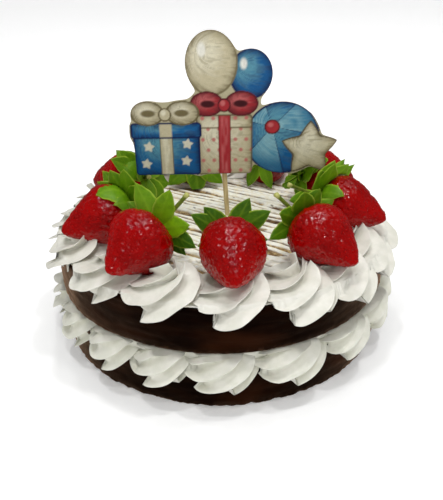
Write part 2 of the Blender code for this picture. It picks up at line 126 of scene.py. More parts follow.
# ------------------------------------------------------------------ meshes
class Shell:
    """Collects vertices, faces and colour values, then makes one mesh."""

    def __init__(self):
        self.v, self.q, self.t, self.attr, self.n = [], [], [], {}, 0
        self.slots = []

    def add(self, verts, quads=None, tris=None, slot=0, outward=True, **attrs):
        verts = np.asarray(verts, float).reshape(-1, 3)
        quads = np.zeros((0, 4), int) if quads is None else np.asarray(quads, int)
        tris = np.zeros((0, 3), int) if tris is None else np.asarray(tris, int)
        if outward and volume(verts, quads, tris) < 0.0:
            quads, tris = quads[:, ::-1], tris[:, ::-1]
        self.v.append(verts)
        self.q.append(quads + self.n)
        self.t.append(tris + self.n)
        self.slots.append((len(quads), len(tris), slot))
        for key in set(self.attr) | set(attrs):
            old = self.attr.setdefault(key, [])
            have = sum(len(a) for a in old)
            if have < self.n:
                old.append(np.zeros(self.n - have))
            value = attrs.get(key, 0.0)
            old.append(np.broadcast_to(np.asarray(value, float).reshape(-1),
                                       (len(verts),)).copy())
        self.n += len(verts)

    def make(self, name, mats, node=None, smooth=True):
        verts = np.concatenate(self.v)
        quads, tris = np.concatenate(self.q), np.concatenate(self.t)
        me = bpy.data.meshes.new(name)
        me.vertices.add(len(verts))
        me.vertices.foreach_set("co", (verts * MM).astype(np.float32).ravel())
        corner = np.concatenate([quads.ravel(), tris.ravel()]).astype(np.int32)
        me.loops.add(len(corner))
        me.loops.foreach_set("vertex_index", corner)
        me.polygons.add(len(quads) + len(tris))
        starts = np.concatenate([np.arange(len(quads)) * 4,
                                 len(quads) * 4 + np.arange(len(tris)) * 3])
        me.polygons.foreach_set("loop_start", starts.astype(np.int32))
        which_q = np.concatenate([np.full(a, s) for a, b, s in self.slots])
        which_t = np.concatenate([np.full(b, s) for a, b, s in self.slots])
        me.polygons.foreach_set("material_index",
                                np.concatenate([which_q, which_t]).astype(np.int32))
        me.polygons.foreach_set("use_smooth",
                                np.full(len(quads) + len(tris), bool(smooth)))
        for m in mats:
            me.materials.append(m)
        for key, parts in self.attr.items():
            data = np.concatenate(parts)
            if len(data) < len(verts):
                data = np.concatenate([data, np.zeros(len(verts) - len(data))])
            layer = me.attributes.new(key, "FLOAT", "POINT")
            layer.data.foreach_set("value", data.astype(np.float32))
        me.update(calc_edges=True)
        me.validate()
        ob = bpy.data.objects.new(name, me)
        bpy.context.scene.collection.objects.link(ob)
        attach(ob, "root")
        if node is not None:
            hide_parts(*([node] if isinstance(node, str) else node))
        return ob


def volume(v, quads, tris):
    t = np.concatenate([quads[:, [0, 1, 2]], quads[:, [0, 2, 3]], tris])
    a, b, c = v[t[:, 0]], v[t[:, 1]], v[t[:, 2]]
    return float(np.einsum("ij,ij->i", a - v.mean(0), np.cross(b - v.mean(0), c - v.mean(0))).sum())


def sheet(rows, cols, base=0, wrap=True):
    i = np.arange(rows - 1)[:, None]
    j = np.arange(cols if wrap else cols - 1)[None, :]
    a = base + i * cols + j
    b = base + i * cols + (j + 1) % cols
    return np.stack([a, b, b + cols, a + cols], -1).reshape(-1, 4)


def fan(ring, centre, flip=False):
    ring = np.asarray(ring)
    nxt = np.roll(ring, -1)
    c = np.full(len(ring), centre)
    tri = np.stack([ring, nxt, c], -1)
    return tri[:, ::-1] if flip else tri


def closed_tube(points, start, end):
    """points (rows, cols, 3) wrapped round, with a point closing each end."""
    rows, cols = points.shape[:2]
    v = np.concatenate([points.reshape(-1, 3), [start], [end]])
    quads = sheet(rows, cols)
    tris = np.concatenate([fan(np.arange(cols), rows * cols, True),
                           fan(np.arange(cols) + (rows - 1) * cols, rows * cols + 1)])
    return v, quads, tris


# --------------------------------------------------------------- materials
def lin(r, g, b):
    out = []
    for c in (r, g, b):
        c = c / 255.0
        out.append(c / 12.92 if c <= 0.04045 else ((c + 0.055) / 1.055) ** 2.4)
    return (*out, 1.0)


class Paint:
    """A procedural material: Principled shader, with colour, roughness and
    bump built up from noise and from the mesh's own values."""

    def __init__(self, name, **sockets):
        self.mat = bpy.data.materials.new(name)
        self.mat.use_nodes = True
        self.tree = self.mat.node_tree
        self.shader = self.tree.nodes["Principled BSDF"]
        for key, value in sockets.items():
            self.shader.inputs[key.replace("_", " ")].default_value = value

    def node(self, kind, **settings):
        n = self.tree.nodes.new(kind)
        for key, value in settings.items():
            setattr(n, key, value)
        return n

    def link(self, a, b):
        self.tree.links.new(a, b)

    def place(self, scale=(1.0, 1.0, 1.0)):
        """Object coordinates in millimetres, scaled."""
        co = self.node("ShaderNodeTexCoord")
        m = self.node("ShaderNodeVectorMath", operation="MULTIPLY")
        m.inputs[1].default_value = [1000.0 * s for s in scale]
        self.link(co.outputs["Object"], m.inputs[0])
        return m.outputs[0]

    def noise(self, size, detail=3.0, rough=0.55, scale=(1, 1, 1), distort=0.0):
        n = self.node("ShaderNodeTexNoise")
        n.inputs["Scale"].default_value = 1.0 / size
        n.inputs["Detail"].default_value = detail
        n.inputs["Roughness"].default_value = rough
        n.inputs["Distortion"].default_value = distort
        self.link(self.place(scale), n.inputs["Vector"])
        return n.outputs["Fac"]

    def value(self, name):
        a = self.node("ShaderNodeAttribute", attribute_name=name)
        return a.outputs["Fac"]

    def remap(self, source, a, b, lo=0.0, hi=1.0):
        m = self.node("ShaderNodeMapRange")
        m.interpolation_type = "SMOOTHSTEP"
        m.inputs["From Min"].default_value = a
        m.inputs["From Max"].default_value = b
        m.inputs["To Min"].default_value = lo
        m.inputs["To Max"].default_value = hi
        self.link(source, m.inputs["Value"])
        return m.outputs["Result"]

    def math(self, op, a, b):
        m = self.node("ShaderNodeMath", operation=op)
        for k, x in enumerate((a, b)):
            if isinstance(x, (int, float)):
                m.inputs[k].default_value = x
            else:
                self.link(x, m.inputs[k])
        return m.outputs[0]

    def mix(self, fac, a, b):
        m = self.node("ShaderNodeMix", data_type="RGBA")
        m.inputs[0].default_value = 0.0
        self.link(fac, m.inputs[0])
        for k, x in ((6, a), (7, b)):
            if isinstance(x, tuple):
                m.inputs[k].default_value = x
            else:
                self.link(x, m.inputs[k])
        return m.outputs[2]

    def colour(self, socket):
        self.link(socket, self.shader.inputs["Base Color"])

    def roughness(self, socket):
        self.link(socket, self.shader.inputs["Roughness"])

    def bump(self, height, distance, strength=1.0, under=None):
        b = self.node("ShaderNodeBump")
        b.inputs["Strength"].default_value = strength
        b.inputs["Distance"].default_value = distance * MM
        self.link(height, b.inputs["Height"])
        if under is not None:
            self.link(under, b.inputs["Normal"])
        self.link(b.outputs["Normal"], self.shader.inputs["Normal"])
        return b.outputs["Normal"]


def chocolate_paint():
    p = Paint("chocolate_coating", Specular_IOR_Level=0.04, Sheen_Weight=0.62, Sheen_Roughness=0.33,
              Sheen_Tint=(1.0, 0.60, 0.36, 1.0),
              Specular_Tint=(1.0, 0.60, 0.36, 1.0))
    smear = p.noise(9.0, 4.0, 0.6, scale=(0.35, 0.35, 1.6), distort=0.6)
    broad = p.noise(26.0, 2.0, 0.5, scale=(0.5, 0.5, 1.0))
    c = p.mix(p.remap(smear, 0.36, 0.70), lin(6, 0, 0), lin(20, 4, 0))
    c = p.mix(p.remap(broad, 0.50, 0.74), c, lin(42, 17, 5))
    c = p.mix(p.value("dry"), c, lin(76, 56, 42))
    p.colour(c)
    p.roughness(p.remap(p.noise(5.0, 3.0), 0.3, 0.75, 0.36, 0.60))
    fine = p.noise(0.7, 3.0, 0.6)
    n = p.bump(smear, 0.5, 0.5)
    p.bump(fine, 0.12, 0.5, under=n)
    return p.mat


def cream_paint(name, light, shade, stained=True, sheen=0.35):
    p = Paint(name, Specular_IOR_Level=sheen, Subsurface_Weight=0.03,
              Subsurface_Scale=0.002)
    p.shader.inputs["Subsurface Radius"].default_value = (1.0, 0.8, 0.6)
    tone = p.noise(6.0, 3.0, 0.5)
    c = p.mix(p.remap(tone, 0.3, 0.7), light, shade)
    if stained:
        c = p.mix(p.value("stain"), c, lin(238, 176, 182))
    p.colour(c)
    p.roughness(p.remap(p.noise(1.4, 3.0), 0.3, 0.72, 0.34, 0.56))
    n = p.bump(p.noise(0.55, 2.0), 0.05, 0.6)
    p.bump(p.noise(2.6, 2.0), 0.12, 0.5, under=n)
    return p.mat


def streak_paint():
    p = Paint("streaked_cream", Specular_IOR_Level=0.35)
    gap = p.value("gap")
    wood = p.noise(2.2, 4.0, 0.65, scale=(1, 1, 1))
    blotch = p.noise(9.0, 3.0, 0.6)
    cream = p.mix(p.remap(p.noise(3.0, 3.0), 0.35, 0.7), lin(255, 254, 246), lin(248, 242, 220))
    tan = p.mix(p.remap(wood, 0.38, 0.62), lin(198, 172, 120), lin(122, 90, 48))
    dark = p.mix(p.remap(wood, 0.45, 0.66), lin(96, 66, 36), lin(34, 22, 14))
    low = p.mix(p.remap(blotch, 0.44, 0.60), tan, dark)
    c = p.mix(gap, cream, low)
    c = p.mix(p.value("speck"), c, lin(28, 18, 14))
    p.colour(c)
    p.roughness(p.remap(wood, 0.3, 0.7, 0.42, 0.66))
    p.bump(wood, 0.12, 0.6)
    return p.mat


def berry_paint():
    p = Paint("glazed_strawberry", Specular_IOR_Level=0.02, Coat_Weight=0.62,
              Coat_Roughness=0.10)
    pit = p.value("pit")
    broad = p.noise(14.0, 2.0, 0.5)
    flesh = p.mix(p.remap(broad, 0.35, 0.7), lin(152, 0, 0), lin(130, 0, 0))
    # painted shade: the flesh is painted a little darker in the seed dimples
    c = p.mix(p.math("MULTIPLY", pit, 0.15), flesh, lin(120, 0, 2))
    c = p.mix(p.value("shoulder"), c, lin(182, 16, 18))
    c = p.mix(p.math("MULTIPLY", p.value("seed"), 0.8), c, lin(170, 8, 6))
    p.colour(c)
    p.roughness(p.remap(p.noise(0.9, 3.0), 0.3, 0.7, 0.22, 0.40))
    n = p.bump(p.noise(2.0, 1.0, 0.45), 1.15, 1.0)
    p.bump(p.noise(0.9, 1.0), 0.10, 0.6, under=n)
    return p.mat


def leaf_paint():
    p = Paint("strawberry_leaf", Specular_IOR_Level=0.20)
    tone = p.noise(5.0, 3.0, 0.55)
    base = p.mix(p.value("tone"), lin(42, 84, 2), lin(124, 172, 8))
    c = p.mix(p.remap(tone, 0.35, 0.72, 0.0, 0.5), base, lin(66, 112, 4))
    c = p.mix(p.math("MULTIPLY", p.value("vein"), 0.45), c, lin(140, 174, 40))
    c = p.mix(p.value("edge"), c, lin(158, 178, 50))
    p.colour(c)
    p.roughness(p.remap(p.noise(1.5, 3.0), 0.3, 0.7, 0.38, 0.6))
    n = p.bump(p.value("vein"), 0.25, 0.5)
    p.bump(p.noise(0.8, 3.0), 0.12, 0.6, under=n)
    return p.mat


def stem_paint():
    p = Paint("strawberry_stem", Specular_IOR_Level=0.4)
    c = p.mix(p.remap(p.noise(2.0, 3.0), 0.3, 0.7), lin(122, 132, 38), lin(92, 112, 30))
    c = p.mix(p.value("cut"), c, lin(190, 190, 110))
    p.colour(c)
    p.roughness(p.remap(p.noise(1.0, 2.0), 0.3, 0.7, 0.42, 0.62))
    p.bump(p.noise(0.6, 3.0), 0.10, 0.5)
    return p.mat


def wood_paint():
    p = Paint("stick_wood", Specular_IOR_Level=0.3)
    grain = p.noise(0.9, 4.0, 0.6, scale=(1.0, 1.0, 0.05))
    c = p.mix(p.remap(grain, 0.34, 0.70), lin(216, 196, 146), lin(180, 154, 104))
    c = p.mix(p.value("high"), c, lin(150, 126, 84))
    p.colour(c)
    p.roughness(p.remap(grain, 0.3, 0.7, 0.55, 0.75))
    p.bump(grain, 0.10, 0.7)
    return p.mat


def card_paint():
    p = Paint("printed_card", Specular_IOR_Level=0.3)
    red = p.node("ShaderNodeAttribute", attribute_name="art")
    grain = p.noise(0.5, 2.0, 0.6)
    shade = p.mix(p.remap(grain, 0.2, 0.8), lin(236, 236, 236), lin(255, 255, 255))
    m = p.node("ShaderNodeMix", data_type="RGBA", blend_type="MULTIPLY")
    m.inputs[0].default_value = 1.0
    p.link(red.outputs["Color"], m.inputs[6])
    p.link(shade, m.inputs[7])
    p.colour(m.outputs[2])
    p.roughness(p.remap(grain, 0.3, 0.7, 0.42, 0.55))
    p.bump(grain, 0.02, 0.4)
    return p.mat


CHOC = chocolate_paint()
CREAM = cream_paint("whipped_cream", lin(229, 227, 217), lin(217, 216, 204), sheen=0.5)
CREAM_MID = cream_paint("border_cream", lin(234, 233, 222), lin(224, 224, 210), False)
STREAKED = streak_paint()
BERRY = berry_paint()
LEAF = leaf_paint()
STEM = stem_paint()
WOOD = wood_paint()
CARD = card_paint()


# ------------------------------------------------------------- cake layers
def cake_layer(name, radius, low, high, seed, ragged):
    cols = 480
    edge = 1.8
    prof = [(radius - 30.0, high), (radius - 12.0, high), (radius - 5.0, high)]
    for k in range(6):
        a = math.radians(90.0 * (1.0 - k / 5.0))
        prof.append((radius - edge + edge * math.cos(a), high - edge + edge * math.sin(a)))
    n = 24
    for k in range(1, n):
        prof.append((radius, high - edge + (low + 1.2 - high + edge) * k / (n - 1.0)))
    for k in range(1, 5):
        a = math.radians(90.0 * k / 4.0)
        prof.append((radius - 1.2 + 1.2 * math.cos(a), low + 1.2 - 1.2 * math.sin(a)))
    prof += [(radius - 6.0, low), (radius - 20.0, low)]
    prof = np.array(prof)
    ang = np.linspace(0.0, 360.0, cols, endpoint=False)
    pts = polar(ang[None, :], prof[:, 0][:, None], prof[:, 1][:, None])
    out = polar(ang, 1.0, 0.0)[None, :, :]
    side = step(prof[:, 0], radius - 6.0, radius - 1.0)[:, None]
    smear = fbm(pts, (34.0, 34.0, 7.0), 3, seed)
    broad = noise(pts, (40.0, 40.0, 30.0), seed + 5)
    fine = fbm(pts, (3.2, 3.2, 1.6), 2, seed + 9)
    d = 0.55 * smear + 0.35 * broad + 0.13 * fine
    # strokes of the palette knife: short steps that run a little downhill
    stroke = noise(pts * (0.03, 0.03, 0.16) +
                   0.55 * noise(pts, (20.0, 20.0, 8.0), seed + 3)[..., None], 1.0, seed + 21)
    d += 0.35 * np.abs(stroke)
    # crumbly lower edge
    near_foot = 1.0 - step(pts[..., 2], low + 0.6, low + 3.4)
    crumb = fbm(pts, 2.4, 3, seed + 31)
    d += ragged * near_foot * (crumb - 0.25)
    pts = pts + out * (d * side)[..., None]
    lift = ragged * near_foot * np.clip(fbm(pts, 3.6, 2, seed + 41), 0.0, 1.0) * side
    pts[..., 2] = np.maximum(pts[..., 2] + lift * 1.4, low)
    dry = near_foot * step(crumb, 0.05, 0.55) * 0.8 * side
    dry = np.maximum(dry, 0.55 * step(smear, 0.35, 0.75) * side * 0.5)
    v, q, t = closed_tube(pts, (0, 0, high), (0, 0, low))
    sh = Shell()
    sh.add(v, q, t, dry=np.concatenate([dry.ravel(), [0.0, 0.0]]))
    return sh.make(name, [CHOC], name.replace("_looks", ""))


cake_layer("cake_lower_looks", R_LOWER - 0.3, 0.0, H_LOWER, 3, 0.9)
cake_layer("cake_upper_looks", R_UPPER - 0.3, Z_UPPER, TOP_UPPER, 11, 0.5)


# ------------------------------------------------------------------ berries
class Berry:
    """Axis runs from the tip to the leafy end."""

    def __init__(self, spec, seed):
        angle, r_tip, z_tip, tilt, yaw, self.length, self.width = spec
        h, t = math.radians(angle + yaw), math.radians(tilt)
        out = np.array([math.sin(h) * math.cos(t), -math.cos(h) * math.cos(t), -math.sin(t)])
        self.axis = -out
        self.tip = polar(angle, r_tip, z_tip)
        self.hub = self.tip + self.axis * self.length
        self.side = unit(np.cross(self.axis, (0.0, 0.0, 1.0)))
        self.up = np.cross(self.side, self.axis)
        self.angle, self.seed = angle, seed
        self.taper = TAPER[seed - 100]
        rng = np.random.default_rng(seed)
        self.full = rng.uniform(0.92, 1.08)
        self.phase = rng.uniform(0.0, 6.28, 4)

    def radius(self, s):
        """Half width at share s of the length, from the leafy end to the tip."""
        s = np.clip(s, 0.0, 1.0)
        x = np.array([0.0, 0.03, 0.08, 0.16, 0.25, 0.35, 0.45, 0.56, 0.66, 0.76,
                      0.85, 0.92, 0.965, 0.99, 1.0])
        y = np.array([0.30, 0.56, 0.77, 0.93, 0.995, 1.0, 0.955, 0.86, 0.745, 0.61,
                      0.455, 0.305, 0.185, 0.095, 0.0])
        slim = 1.0 - self.taper * step(s, 0.30, 0.95)
        return np.interp(s, x, y) * slim * self.width / 2.0

    def local(self, p):
        d = p - self.tip
        along = d @ self.axis
        side, up = d @ self.side, d @ self.up
        return along, side, up

    def push(self, p, gap):
        """Points inside the berry move out to its surface, those above its
        waist down towards its sides."""
        along, side, up = self.local(p)
        r = self.radius(1.0 - along / self.length) + gap
        rr = np.hypot(side, up)
        inside = (along > -gap) & (along < self.length + 0.5) & (rr < r)
        a = np.degrees(np.arctan2(side, -up))          # 0 = straight down
        mag = np.abs(a)
        new = np.where(mag < 70.0, mag, 70.0 + (mag - 70.0) * 0.22)
        new = np.radians(new) * np.sign(a)
        q = (self.tip + along[..., None] * self.axis +
             (r * np.sin(new))[..., None] * self.side -
             (r * np.cos(new))[..., None] * self.up)
        return np.where(inside[..., None], q, p)

    def drape(self, p, gap):
        """Points inside the berry move to the nearest place on its skin."""
        along, side, up = self.local(p)
        rr = np.hypot(side, up)
        share = np.linspace(0.0, 1.0, 90)
        skin_r, skin_a = self.radius(share) + gap, self.length * (1.0 - share)
        skin_a = skin_a + gap * (1.0 - 2.0 * share)
        inside = (along > 0.0) & (along < self.length + gap)
        inside &= rr < self.radius(1.0 - along / self.length) + gap
        near = np.hypot(skin_r - rr[..., None], skin_a - along[..., None]).argmin(-1)
        new_r, new_a = skin_r[near], skin_a[near]
        scale = new_r / np.maximum(rr, 0.3)
        q = (self.tip + new_a[..., None] * self.axis + (side * scale)[..., None] * self.side +
             (up * scale)[..., None] * self.up)
        return np.where(inside[..., None], q, p)

    def gap(self, p):
        along, side, up = self.local(p)
        r = self.radius(1.0 - along / self.length)
        d = np.hypot(side, up) - r
        beyond = np.maximum(np.maximum(-along, along - self.length), 0.0)
        return np.hypot(np.maximum(d, 0.0), beyond)


berries = [Berry(s, 100 + i) for i, s in enumerate(BERRIES)]
FRONT = (0, 1, 2, 7, 8)


def seed_spots(count):
    """Directions (share along, turn) of the seeds on the berry's spiral."""
    k = np.arange(count) + 0.5
    return k / count, (k * 137.508) % 360.0


def make_berry(i):
    b = berries[i]
    front = i in FRONT
    rows, cols = (94, 146) if front else (64, 98)
    s = np.concatenate([[0.0], np.cumsum(np.ones(rows - 1))])
    s = s / s[-1]
    # rows closer together at both ends
    ends = 0.5 - 0.5 * np.cos(np.pi * s)
    s = 0.45 * ends + 0.55 * s
    ang = np.linspace(0.0, 2.0 * np.pi, cols, endpoint=False)

    def surface(ss, aa):
        x = 1.0 - ss                                   # 0 at the tip
        r = b.radius(ss)
        # uneven shape: flats, a bulge and a bent nose
        wob = 1.0 + 0.030 * np.sin(2 * aa + b.phase[0]) + 0.022 * np.sin(3 * aa + b.phase[1])
        wob = wob + 0.03 * np.sin(aa + b.phase[2] + 4.0 * ss)
        r = r * wob
        # shoulders rise round the hollow at the leafy end
        along = b.length * x - 3.2 * np.exp(-(r / (0.30 * b.width / 2.0)) ** 2) * (ss < 0.2)
        bend = (ss ** 2) * 1.3
        p = (b.tip + along[..., None] * b.axis +
             (r * np.cos(aa) + bend * np.sin(b.phase[3]))[..., None] * b.side +
             (r * np.sin(aa) + bend * 0.6 * np.cos(b.phase[3]))[..., None] * b.up)
        return p

    S, A = np.meshgrid(s, ang, indexing="ij")
    P = surface(S, A)
    eps = 1e-3
    du = surface(np.clip(S + eps, 0, 1), A) - surface(np.clip(S - eps, 0, 1), A)
    dv = surface(S, A + eps) - surface(S, A - eps)
    N = unit(np.cross(dv, du))
    centre = b.tip + b.axis * b.length * 0.5
    N = np.where((np.einsum("ijk,ijk->ij", N, P - centre) < 0)[..., None], -N, N)
    # seeds: spiral by equal area
    count = 250
    grid = np.linspace(0.0, 1.0, 400)
    area = np.cumsum(b.radius(grid) + 0.6)
    area = (area - area[0]) / (area[-1] - area[0])
    share, turn = seed_spots(count)
    seed_s = np.interp(share, area, grid) * 0.965 + 0.02
    rng = np.random.default_rng(b.seed + 7)
    seed_a = np.radians(turn) + rng.normal(0.0, 0.035, count)
    seed_s = np.clip(seed_s + rng.normal(0.0, 0.008, count), 0.03, 0.985)
    SP = surface(seed_s, seed_a)
    flat = P.reshape(-1, 3)
    dist = np.full(len(flat), 1e9)
    for k in range(0, count, 50):
        d = np.linalg.norm(flat[:, None, :] - SP[None, k:k + 50, :], axis=2)
        dist = np.minimum(dist, d.min(axis=1))
    dist = dist.reshape(S.shape)
    near_end = step(S, 0.0, 0.05) * (1.0 - step(S, 0.97, 1.0))
    # dimple depth for the relief; the same mask paints shade into the dimples
    pit = np.exp(-(dist / 0.95) ** 2)
    relief = -0.26 * pit + 0.26 * np.exp(-((dist - 1.6) / 0.7) ** 2)
    relief += 0.46 * fbm(P, 2.3, 2, b.seed) + 0.40 * noise(P, 7.0, b.seed + 3)
    P = P + N * (relief * near_end)[..., None]
    shoulder = (1.0 - step(S, 0.01, 0.10)) * 0.5
    sh = Shell()
    top = b.tip + b.axis * (b.length - 3.0)
    v, q, t = closed_tube(P, top, P[-1].mean(0))
    z2 = [0.0, 0.0]
    sh.add(v, q, t, pit=np.concatenate([(pit * near_end).ravel(), z2]),
           shoulder=np.concatenate([shoulder.ravel(), z2]), seed=0.0)
    # the seeds themselves
    e = 1e-3
    Ts = unit(surface(np.clip(seed_s + e, 0, 1), seed_a) - surface(np.clip(seed_s - e, 0, 1), seed_a))
    Ta = unit(surface(seed_s, seed_a + e) - surface(seed_s, seed_a - e))
    Ns = unit(np.cross(Ta, Ts))
    Ns = np.where(((Ns * (SP - centre)).sum(1) < 0)[:, None], -Ns, Ns)
    Ta = np.cross(Ns, Ts)
    ring = np.linspace(0.0, 2.0 * np.pi, 6, endpoint=False)
    lat = np.radians([-35.0, 10.0, 50.0])
    base_v, faces_q, faces_t = [], [], []
    tv = []
    for la in lat:
        for a in ring:
            tv.append((math.cos(la) * math.cos(a), math.cos(la) * math.sin(a), math.sin(la)))
    tv += [(0, 0, -1.0), (0, 0, 1.0)]
    tv = np.array(tv)
    q1 = sheet(3, 6)
    t1 = np.concatenate([fan(np.arange(6), 18, True), fan(np.arange(6) + 12, 19)])
    for k in range(count):
        if seed_s[k] < 0.05:
            continue
        o = SP[k] - Ns[k] * 0.36
        size = rng.uniform(0.9, 1.1)
        w = (o + tv[:, :1] * Ts[k] * 0.78 * size + tv[:, 1:2] * Ta[k] * 0.50 * size +
             tv[:, 2:3] * Ns[k] * 0.36 * size)
        n0 = len(base_v) * len(tv)
        base_v.append(w)
        faces_q.append(q1 + n0)
        faces_t.append(t1 + n0)
    base_v = np.concatenate(base_v)
    sh.add(base_v, np.concatenate(faces_q), np.concatenate(faces_t), seed=1.0)
    sh.make("strawberry_%02d_looks" % (i + 1), [BERRY], "strawberry_%02d" % (i + 1))


for n in range(9):
    make_berry(n)


# ----------------------------------------------------------- piped swirls
#      turn within one fin, and height of the crest there
FIN = np.array([
    (-0.034, 0.945), (-0.020, 0.985), (0.000, 1.000), (0.018, 0.985), (0.028, 0.935),
    (0.027, 0.83), (0.020, 0.69), (0.020, 0.54), (0.030, 0.38), (0.052, 0.23),
    (0.088, 0.11), (0.135, 0.03), (0.195, 0.00), (0.270, 0.02), (0.350, 0.07),
    (0.435, 0.155), (0.520, 0.265), (0.605, 0.385), (0.690, 0.52), (0.770, 0.65),
    (0.845, 0.775), (0.910, 0.875),
])
FIN[:, 1] = np.where(FIN[:, 0] > 0.2, FIN[:, 1] ** 1.32, FIN[:, 1])

RISE_T = [0.0, 0.06, 0.16, 0.35, 0.55, 0.75, 0.90, 1.0]
RISE_R = [0.93, 0.98, 1.0, 0.94, 0.79, 0.57, 0.36, 0.18]
RISE_Z = [0.0, 0.02, 0.08, 0.24, 0.45, 0.69, 0.88, 1.0]
RISE_D = [0.42, 0.36, 0.31, 0.31, 0.37, 0.48, 0.62, 0.78]


def ease(x, xs, ys):
    """Smooth curve through a few points."""
    fine = np.linspace(xs[0], xs[-1], 401)
    y = np.interp(fine, xs, ys)
    pad = np.concatenate([2 * y[0] - y[24:0:-1], y, 2 * y[-1] - y[-2:-26:-1]])
    y = np.convolve(pad, np.hanning(51)[1:-1] / np.hanning(51)[1:-1].sum(), "same")[24:-24]
    return np.interp(x, fine, y)


def swirl(angle, ring, z0, height, across, along, fins, turn, start, seed,
          rim, top_z=None, rows=62, rise=6.0, half=17.0, deep=1.0,
          berry_push=True, walls=None, inner=None, lean=(0.0, 0.0), sag=0.0):
    """One piped swirl.  Its fins climb anticlockwise, thin lip outwards, each
    lip standing over the hollow below it, and run together in a broken peak.

    rim is (radius, height): inside that radius the cream lies on that height.
    """
    rng = np.random.default_rng(seed)
    m = len(FIN)
    cols = fins * m
    amp = rng.uniform(0.94, 1.05, fins)
    tall = rng.uniform(-3.6, 1.6, fins)
    phase = rng.normal(0.0, 0.055, fins)
    k = np.arange(cols)
    j = k // m
    share, q = FIN[k % m, 0], FIN[k % m, 1]
    # neighbouring fins blend their own values
    w = share.clip(0.0, 1.0)
    nj = (j + 1) % fins
    amp_k = amp[j] * (1 - w) + amp[nj] * w
    tall_k = tall[j] * (1 - w) + tall[nj] * w
    phase_k = phase[j] * (1 - w) + phase[nj] * w
    t = np.linspace(0.0, 1.0, rows)[:, None]
    phi = np.radians(start + 360.0 * (j + share + phase_k)[None, :] / fins + turn * t)
    crest = ease(t, RISE_T, RISE_R)
    depth = deep * ease(t, RISE_T, RISE_D)
    # a fin begins as a blade and opens out into a scoop
    q = np.clip(q, 0.0, 1.0)[None, :] ** (1.0 + 2.6 * (1.0 - step(t, 0.0, 0.30)))
    r = crest * amp_k[None, :] * (1.0 - depth * (1.0 - q))
    z = z0 + height * ease(t, RISE_T, RISE_Z) + tall_k[None, :] * t ** 2.5
    z = z - 8.0 * (1.0 - q) * np.clip((t - 0.45) / 0.55, 0, 1) ** 2
    # the first turn of each fin sags over the edge, lip lowest
    z = z - 1.3 * q ** 2 * (1.0 - t) ** 3 - sag * (1.0 - t) ** 2
    a = math.radians(angle)
    tang = np.array([math.cos(a), math.sin(a), 0.0])
    out = np.array([math.sin(a), -math.cos(a), 0.0])
    x = r * np.cos(phi) * along                 # along the rim
    y = r * np.sin(phi) * across                # towards the middle
    x = x + lean[0] * t ** 2
    y = y + lean[1] * t ** 2
    if walls is not None:
        behind, ahead = walls
        # neighbours press on each other
        x = np.where(x > ahead, ahead + (x - ahead) * 0.30, x)
        x = np.where(x < -behind, -behind + (x + behind) * 0.30, x)
    if inner is not None:
        lim = ring - inner
        y = np.where(y > lim, lim + (y - lim) * 0.2, y)
    centre = polar(angle, ring, 0.0)
    P = centre + x[..., None] * tang - y[..., None] * out
    P[..., 2] = z
    # the foot hangs lowest in the middle
    s = np.clip(np.abs(x) / half, 0.0, 1.25)
    P[..., 2] += rise * s ** 2.4 * (1.0 - t) ** 2.0
    warp = np.stack([noise(P, 13.0, seed + 1), noise(P, 13.0, seed + 2),
                     noise(P, 11.0, seed + 3)], -1)
    P = P + warp * (1.0, 1.0, 0.8) * step(t, 0.0, 0.3)[..., None]
    P = P + 0.10 * np.stack([noise(P, 2.2, seed + 4)] * 3, -1)
    rad = np.hypot(P[..., 0], P[..., 1])
    over = np.maximum(rad - REACH + 1.5, 0.0)
    shrinkage = (rad - over + 1.5 * (1.0 - np.exp(-over / 1.5))) / np.maximum(rad, 1e-6)
    P[..., :2] *= shrinkage[..., None]
    rad = rad * shrinkage
    rim_r, rim_z = rim
    level = rim_z + 0.6 * t + 0.3 * q
    held = level + 1.1 * np.log1p(np.exp(np.clip((P[..., 2] - level) / 1.1, -30.0, 30.0)))
    P[..., 2] = np.where(rad < rim_r, np.maximum(P[..., 2], held), P[..., 2])
    if top_z is not None:
        # the top falls away towards both sides
        cap = top_z + 0.3 * t - 3.2 * np.clip(np.abs(x) / half, 0.0, 1.15) ** 3
        over = P[..., 2] - cap
        P[..., 2] = np.where(over > 0.0, cap + 0.4 * (1.0 - np.exp(-over / 2.0)), P[..., 2])
    stain = np.zeros(P.shape[:2])
    if berry_push:
        for b in berries:
            if abs((b.angle - angle + 180.0) % 360.0 - 180.0) < 50.0:
                P = b.push(P, 0.10)
                g = b.gap(P)
                stain = np.maximum(stain, 0.45 * (1.0 - step(g, 0.2, 3.4)) ** 1.6)
        stain = stain * (0.25 + 0.75 * step(noise(P, 4.0, seed + 6), -0.4, 0.6))
    start_pt = centre + np.array([0, 0, max(z0 + 1.0, rim[1] - 0.5)])
    end_pt = P[-1].mean(0)
    end_pt[2] = P[-1][:, 2].min() - 1.0
    if berry_push:
        for b in berries:
            end_pt = b.push(end_pt[None, :], 0.1)[0]
    v, quads, tris = closed_tube(P, start_pt, end_pt)
    return v, quads, tris, np.concatenate([stain.ravel(), [0.0, 0.0]])


def ring_angles(front, count):
    gap = (front[0] + 360.0 - front[-1]) / (count + 1)
    return list(front) + [front[-1] + gap * (k + 1) for k in range(count)]


ROSETTES = ring_angles([-90.0, -66.5, -43.5, -20.0, 2.5, 24.0, 43.5, 61.5, 80.0], 7)
BORDER = ring_angles([-56.0, -37.0, -19.4, -1.0, 20.4, 42.2, 61.5], 11)


def spacing(angles, i, radius):
    n = len(angles)
    ahead = math.radians((angles[(i + 1) % n] - angles[i]) % 360.0)
    behind = math.radians((angles[i] - angles[(i - 1) % n]) % 360.0)
    return radius * math.sin(behind / 2.0), radius * math.sin(ahead / 2.0)


